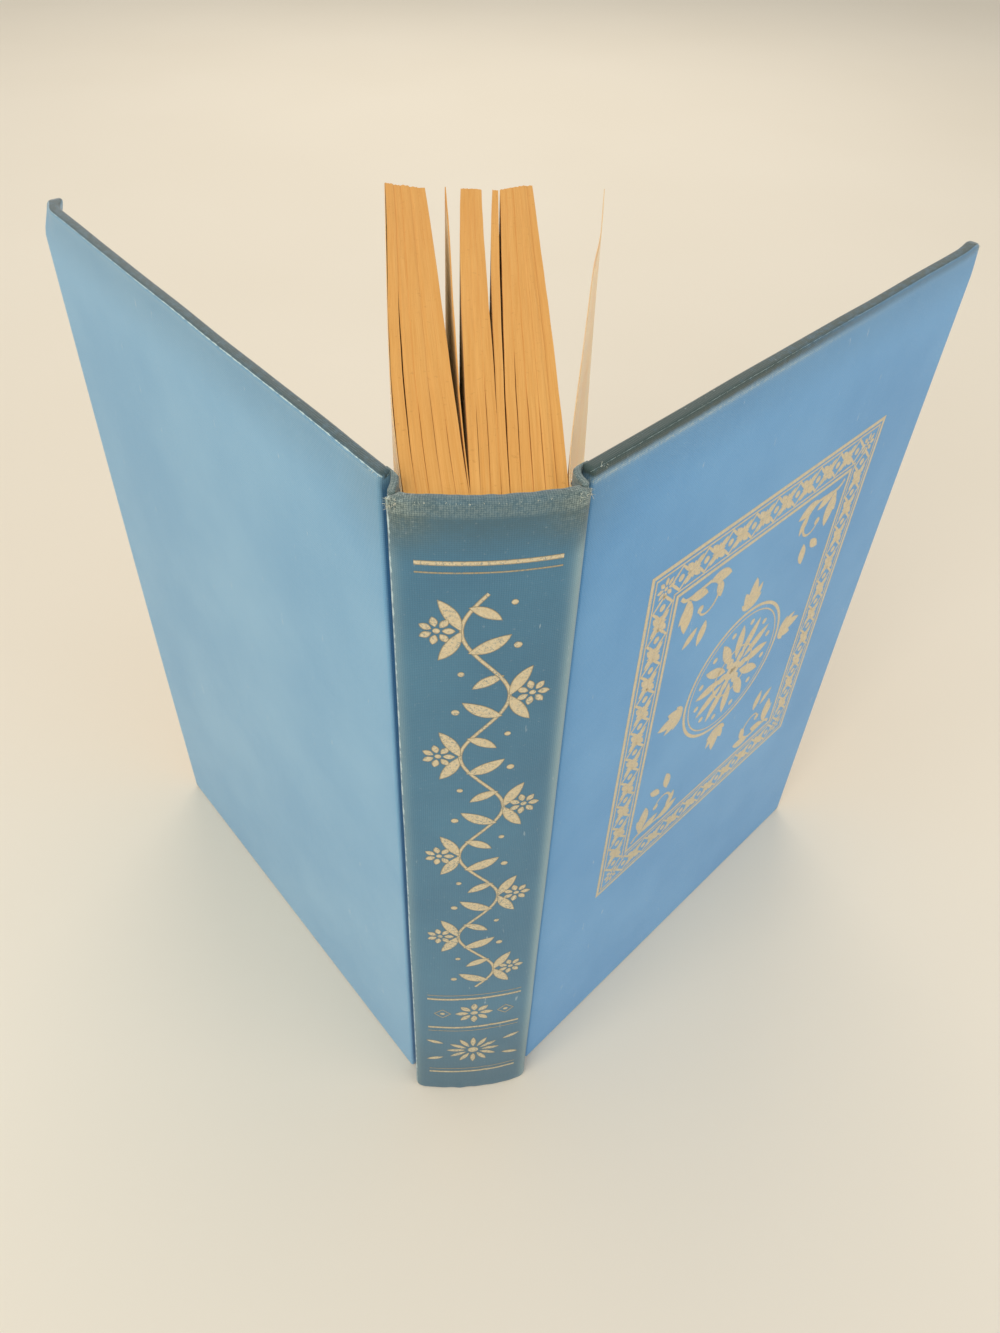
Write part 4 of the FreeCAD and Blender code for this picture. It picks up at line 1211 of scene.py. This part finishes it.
def spine_strokes():
    """The spine's blocking: pairs of rules, a leafy stem that winds between them with a rosette,
    four leaves and two dots at each of its bends, and two rosettes between the lower rules."""
    middle, made = SPINE_GIRTH / 2, []
    for z, half_width in ((203.6, 0.5), (201.6, 0.18), (57.6, 0.18), (55.6, 0.5), (39.6, 0.5),
                          (37.6, 0.18), (13.6, 0.18), (11.6, 0.5)):
        made.append(stroke(spaced((middle - 12.6, z), (middle + 12.6, z), 1.0), half_width))
    height = np.linspace(62, 197, 180)
    stem = np.stack([middle + 4.6 * np.sin((height - 62) / 135 * 8 * np.pi), height], -1)
    made.append(stroke(stem, 0.42))
    for k in range(8):
        z = 62 + 135 * (k + 0.5) / 8
        side = 1 if k % 2 == 0 else -1
        bow = np.array([middle + 4.6 * side, z])
        made += rosette(bow + (4.4 * side, 0), 3.4, 7, 0.78)
        for up in (90, 270):
            lean = side if up == 90 else -side
            made.append(petal(bow, up - lean * 22, 8.2, 1.35, bend=-1.2 * lean))
        made.append(petal(bow - (1.2 * side, 5.4), 90 + side * 74, 8.6, 1.5, bend=-1.8 * side))
        made.append(petal(bow - (1.2 * side, -5.4), 90 + side * 106, 6.6, 1.2, bend=1.4 * side))
        made.append(dot(bow - (10.2 * side, 4.0), 0.8))
        made.append(dot(bow - (9.2 * side, -6.2), 0.65))
    made += rosette((middle, 47.6), 5.2, 8, 0.95)
    made += lozenge((middle - 8.6, 47.6), 2.2, 0.2) + lozenge((middle + 8.6, 47.6), 2.2, 0.2)
    made += rosette((middle, 25.6), 7.6, 12, 0.8)
    for side in (-1, 1):
        made.append(petal((middle + side * 8.4, 29.8), 90 - side * 70, 5.2, 0.8))
        made.append(petal((middle + side * 8.4, 21.4), 270 + side * 70, 5.2, 0.8))
    return made


def foil_material(name, under, flaking, edge_shade):
    """Rubbed gold foil: warm metal that lies in the weave, with painted shade along its pressed-in
    outline, and the cloth's dye showing where it has come away."""
    material, tree, shader = new_material(name, 0.45)
    place = in_millimetres(tree)
    height = woven(tree, mark_of(tree, "threads", "Vector"))["Height"]
    flaked = eased(tree, noise(tree, place, 1.9, 5.0, 0.8), 0.5, 0.6)
    worn = eased(tree, noise(tree, place, 0.09, 3.0), 0.3, 0.7, 0.3 * flaking, flaking)
    gone = reckon(tree, "MULTIPLY", flaked, worn)
    gold = mixed(tree, noise(tree, place, 1.1, 4.0, 0.7), "cbb993", "f2e7cc")
    # Painted shade darkens the foil along its pressed-in edges
    outline = eased(tree, mark_of(tree, "inward"), 0.04, 0.26, edge_shade, 0.0)
    gold = mixed(tree, outline, gold, "6f6349")
    feed(tree, shader, Base_Color=mixed(tree, gone, gold, under),
         Metallic=eased(tree, gone, 0.0, 1.0, 0.72, 0.0),
         Roughness=eased(tree, gone, 0.0, 1.0, 0.40, 0.7), Normal=relief(tree, height, 0.035))
    return material


points, faces, inward = joined(stacked(panel_strokes()))
across, z, depth = points.T
# The front cover's cloth under the foil keeps its deeper blue, partly painted shade
panel_foil = foil_material("gold_on_cover", "5f9bc9", 0.35, 0.12)
panel = add_piece("front_gold_panel", on_cover("front", across, OUTER_FACE + depth, z), faces,
                  panel_foil, smooth=False, threads=np.stack([across, z, depth], -1),
                  inward=inward)
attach(panel, "front_cover")

points, faces, inward = joined(stacked(spine_strokes()))
across, z, depth = points.T
# The spine's cloth under the foil is darker, partly painted shade as on the spine
stem_foil = foil_material("gold_on_spine", "5d7a84", 0.8, 0.7)
blocking = add_piece("spine_gold_stem", on_spine(across, depth, z), faces, stem_foil,
                     smooth=False, threads=np.stack([across, z, depth], -1), inward=inward)
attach(blocking, "pages_and_spine")


# ---- Stage, light and camera -----------------------------------------------------------------
# A plain pale floor, soft studio light from the front left and above, and the camera of the
# picture, which looks down at the spine from a little to its left.
FLOOR_SIZE = 4.0
CAMERA_PLACE = (-0.01667, -0.13292, 0.30972)
CAMERA_TURNS = (-8.318, 45.462, 2.765)
CAMERA_LENS = 27.65

floor_points = np.array([(-1, -1, 0), (1, -1, 0), (1, 1, 0), (-1, 1, 0)]) * FLOOR_SIZE / 2 / MM
floor_points[:, 2] = -0.05
floor_paint, tree, shader = new_material("pale_floor", 0.9, Specular_IOR_Level=0.1)
tone = noise(tree, in_millimetres(tree), 0.004, 2.0)
feed(tree, shader, Base_Color=mixed(tree, tone, "e9e1d0", "efe8d9"))
floor = add_piece("floor", floor_points, np.array([[0, 1, 2, 3]]), floor_paint)
floor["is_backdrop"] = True

world = bpy.data.worlds.new("studio")
bpy.context.scene.world = world
world.use_nodes = True
world.node_tree.nodes["Background"].inputs["Color"].default_value = linear("fbf8f3")
world.node_tree.nodes["Background"].inputs["Strength"].default_value = 0.62


def soft_light(name, place, target, size, power, colour):
    """A square area lamp at place that shines at target."""
    lamp = bpy.data.lights.new(name, "AREA")
    lamp.shape, lamp.size = "SQUARE", size
    lamp.energy, lamp.color = power, linear(colour)[:3]
    holder = bpy.data.objects.new(name, lamp)
    away = np.array(place, float) - np.array(target, float)
    away /= np.linalg.norm(away)
    right = np.cross((0.0, 0.0, 1.0), away)
    right /= np.linalg.norm(right)
    turned = np.stack([right, np.cross(away, right), away], -1)
    holder.matrix_world = Matrix.Translation(place) @ Matrix(turned.tolist()).to_4x4()
    bpy.context.scene.collection.objects.link(holder)


soft_light("window_light", (-0.75, -0.75, 0.95), (0, 0, 0.1), 0.9, 9.0, "fff8ee")
soft_light("fill_light", (0.9, -0.6, 0.6), (0, 0, 0.1), 0.9, 3.0, "fbfaff")
soft_light("back_light", (0.1, 1.1, 0.8), (0, 0, 0.15), 0.9, 3.5, "fff6ea")

camera = bpy.data.cameras.new("picture_camera")
camera.lens, camera.sensor_width = CAMERA_LENS, 36.0
camera.clip_start = 0.01
holder = bpy.data.objects.new("picture_camera", camera)
yaw, pitch, roll = (np.radians(turn) for turn in CAMERA_TURNS)
holder.matrix_world = Matrix.Translation(CAMERA_PLACE) @ Matrix.Rotation(yaw, 4, "Z") \
    @ Matrix.Rotation(pitch, 4, "X") @ Matrix.Rotation(roll, 4, "Z")
bpy.context.scene.collection.objects.link(holder)
bpy.context.scene.camera = holder
bpy.context.scene.view_settings.view_transform = "Standard"

low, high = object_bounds()
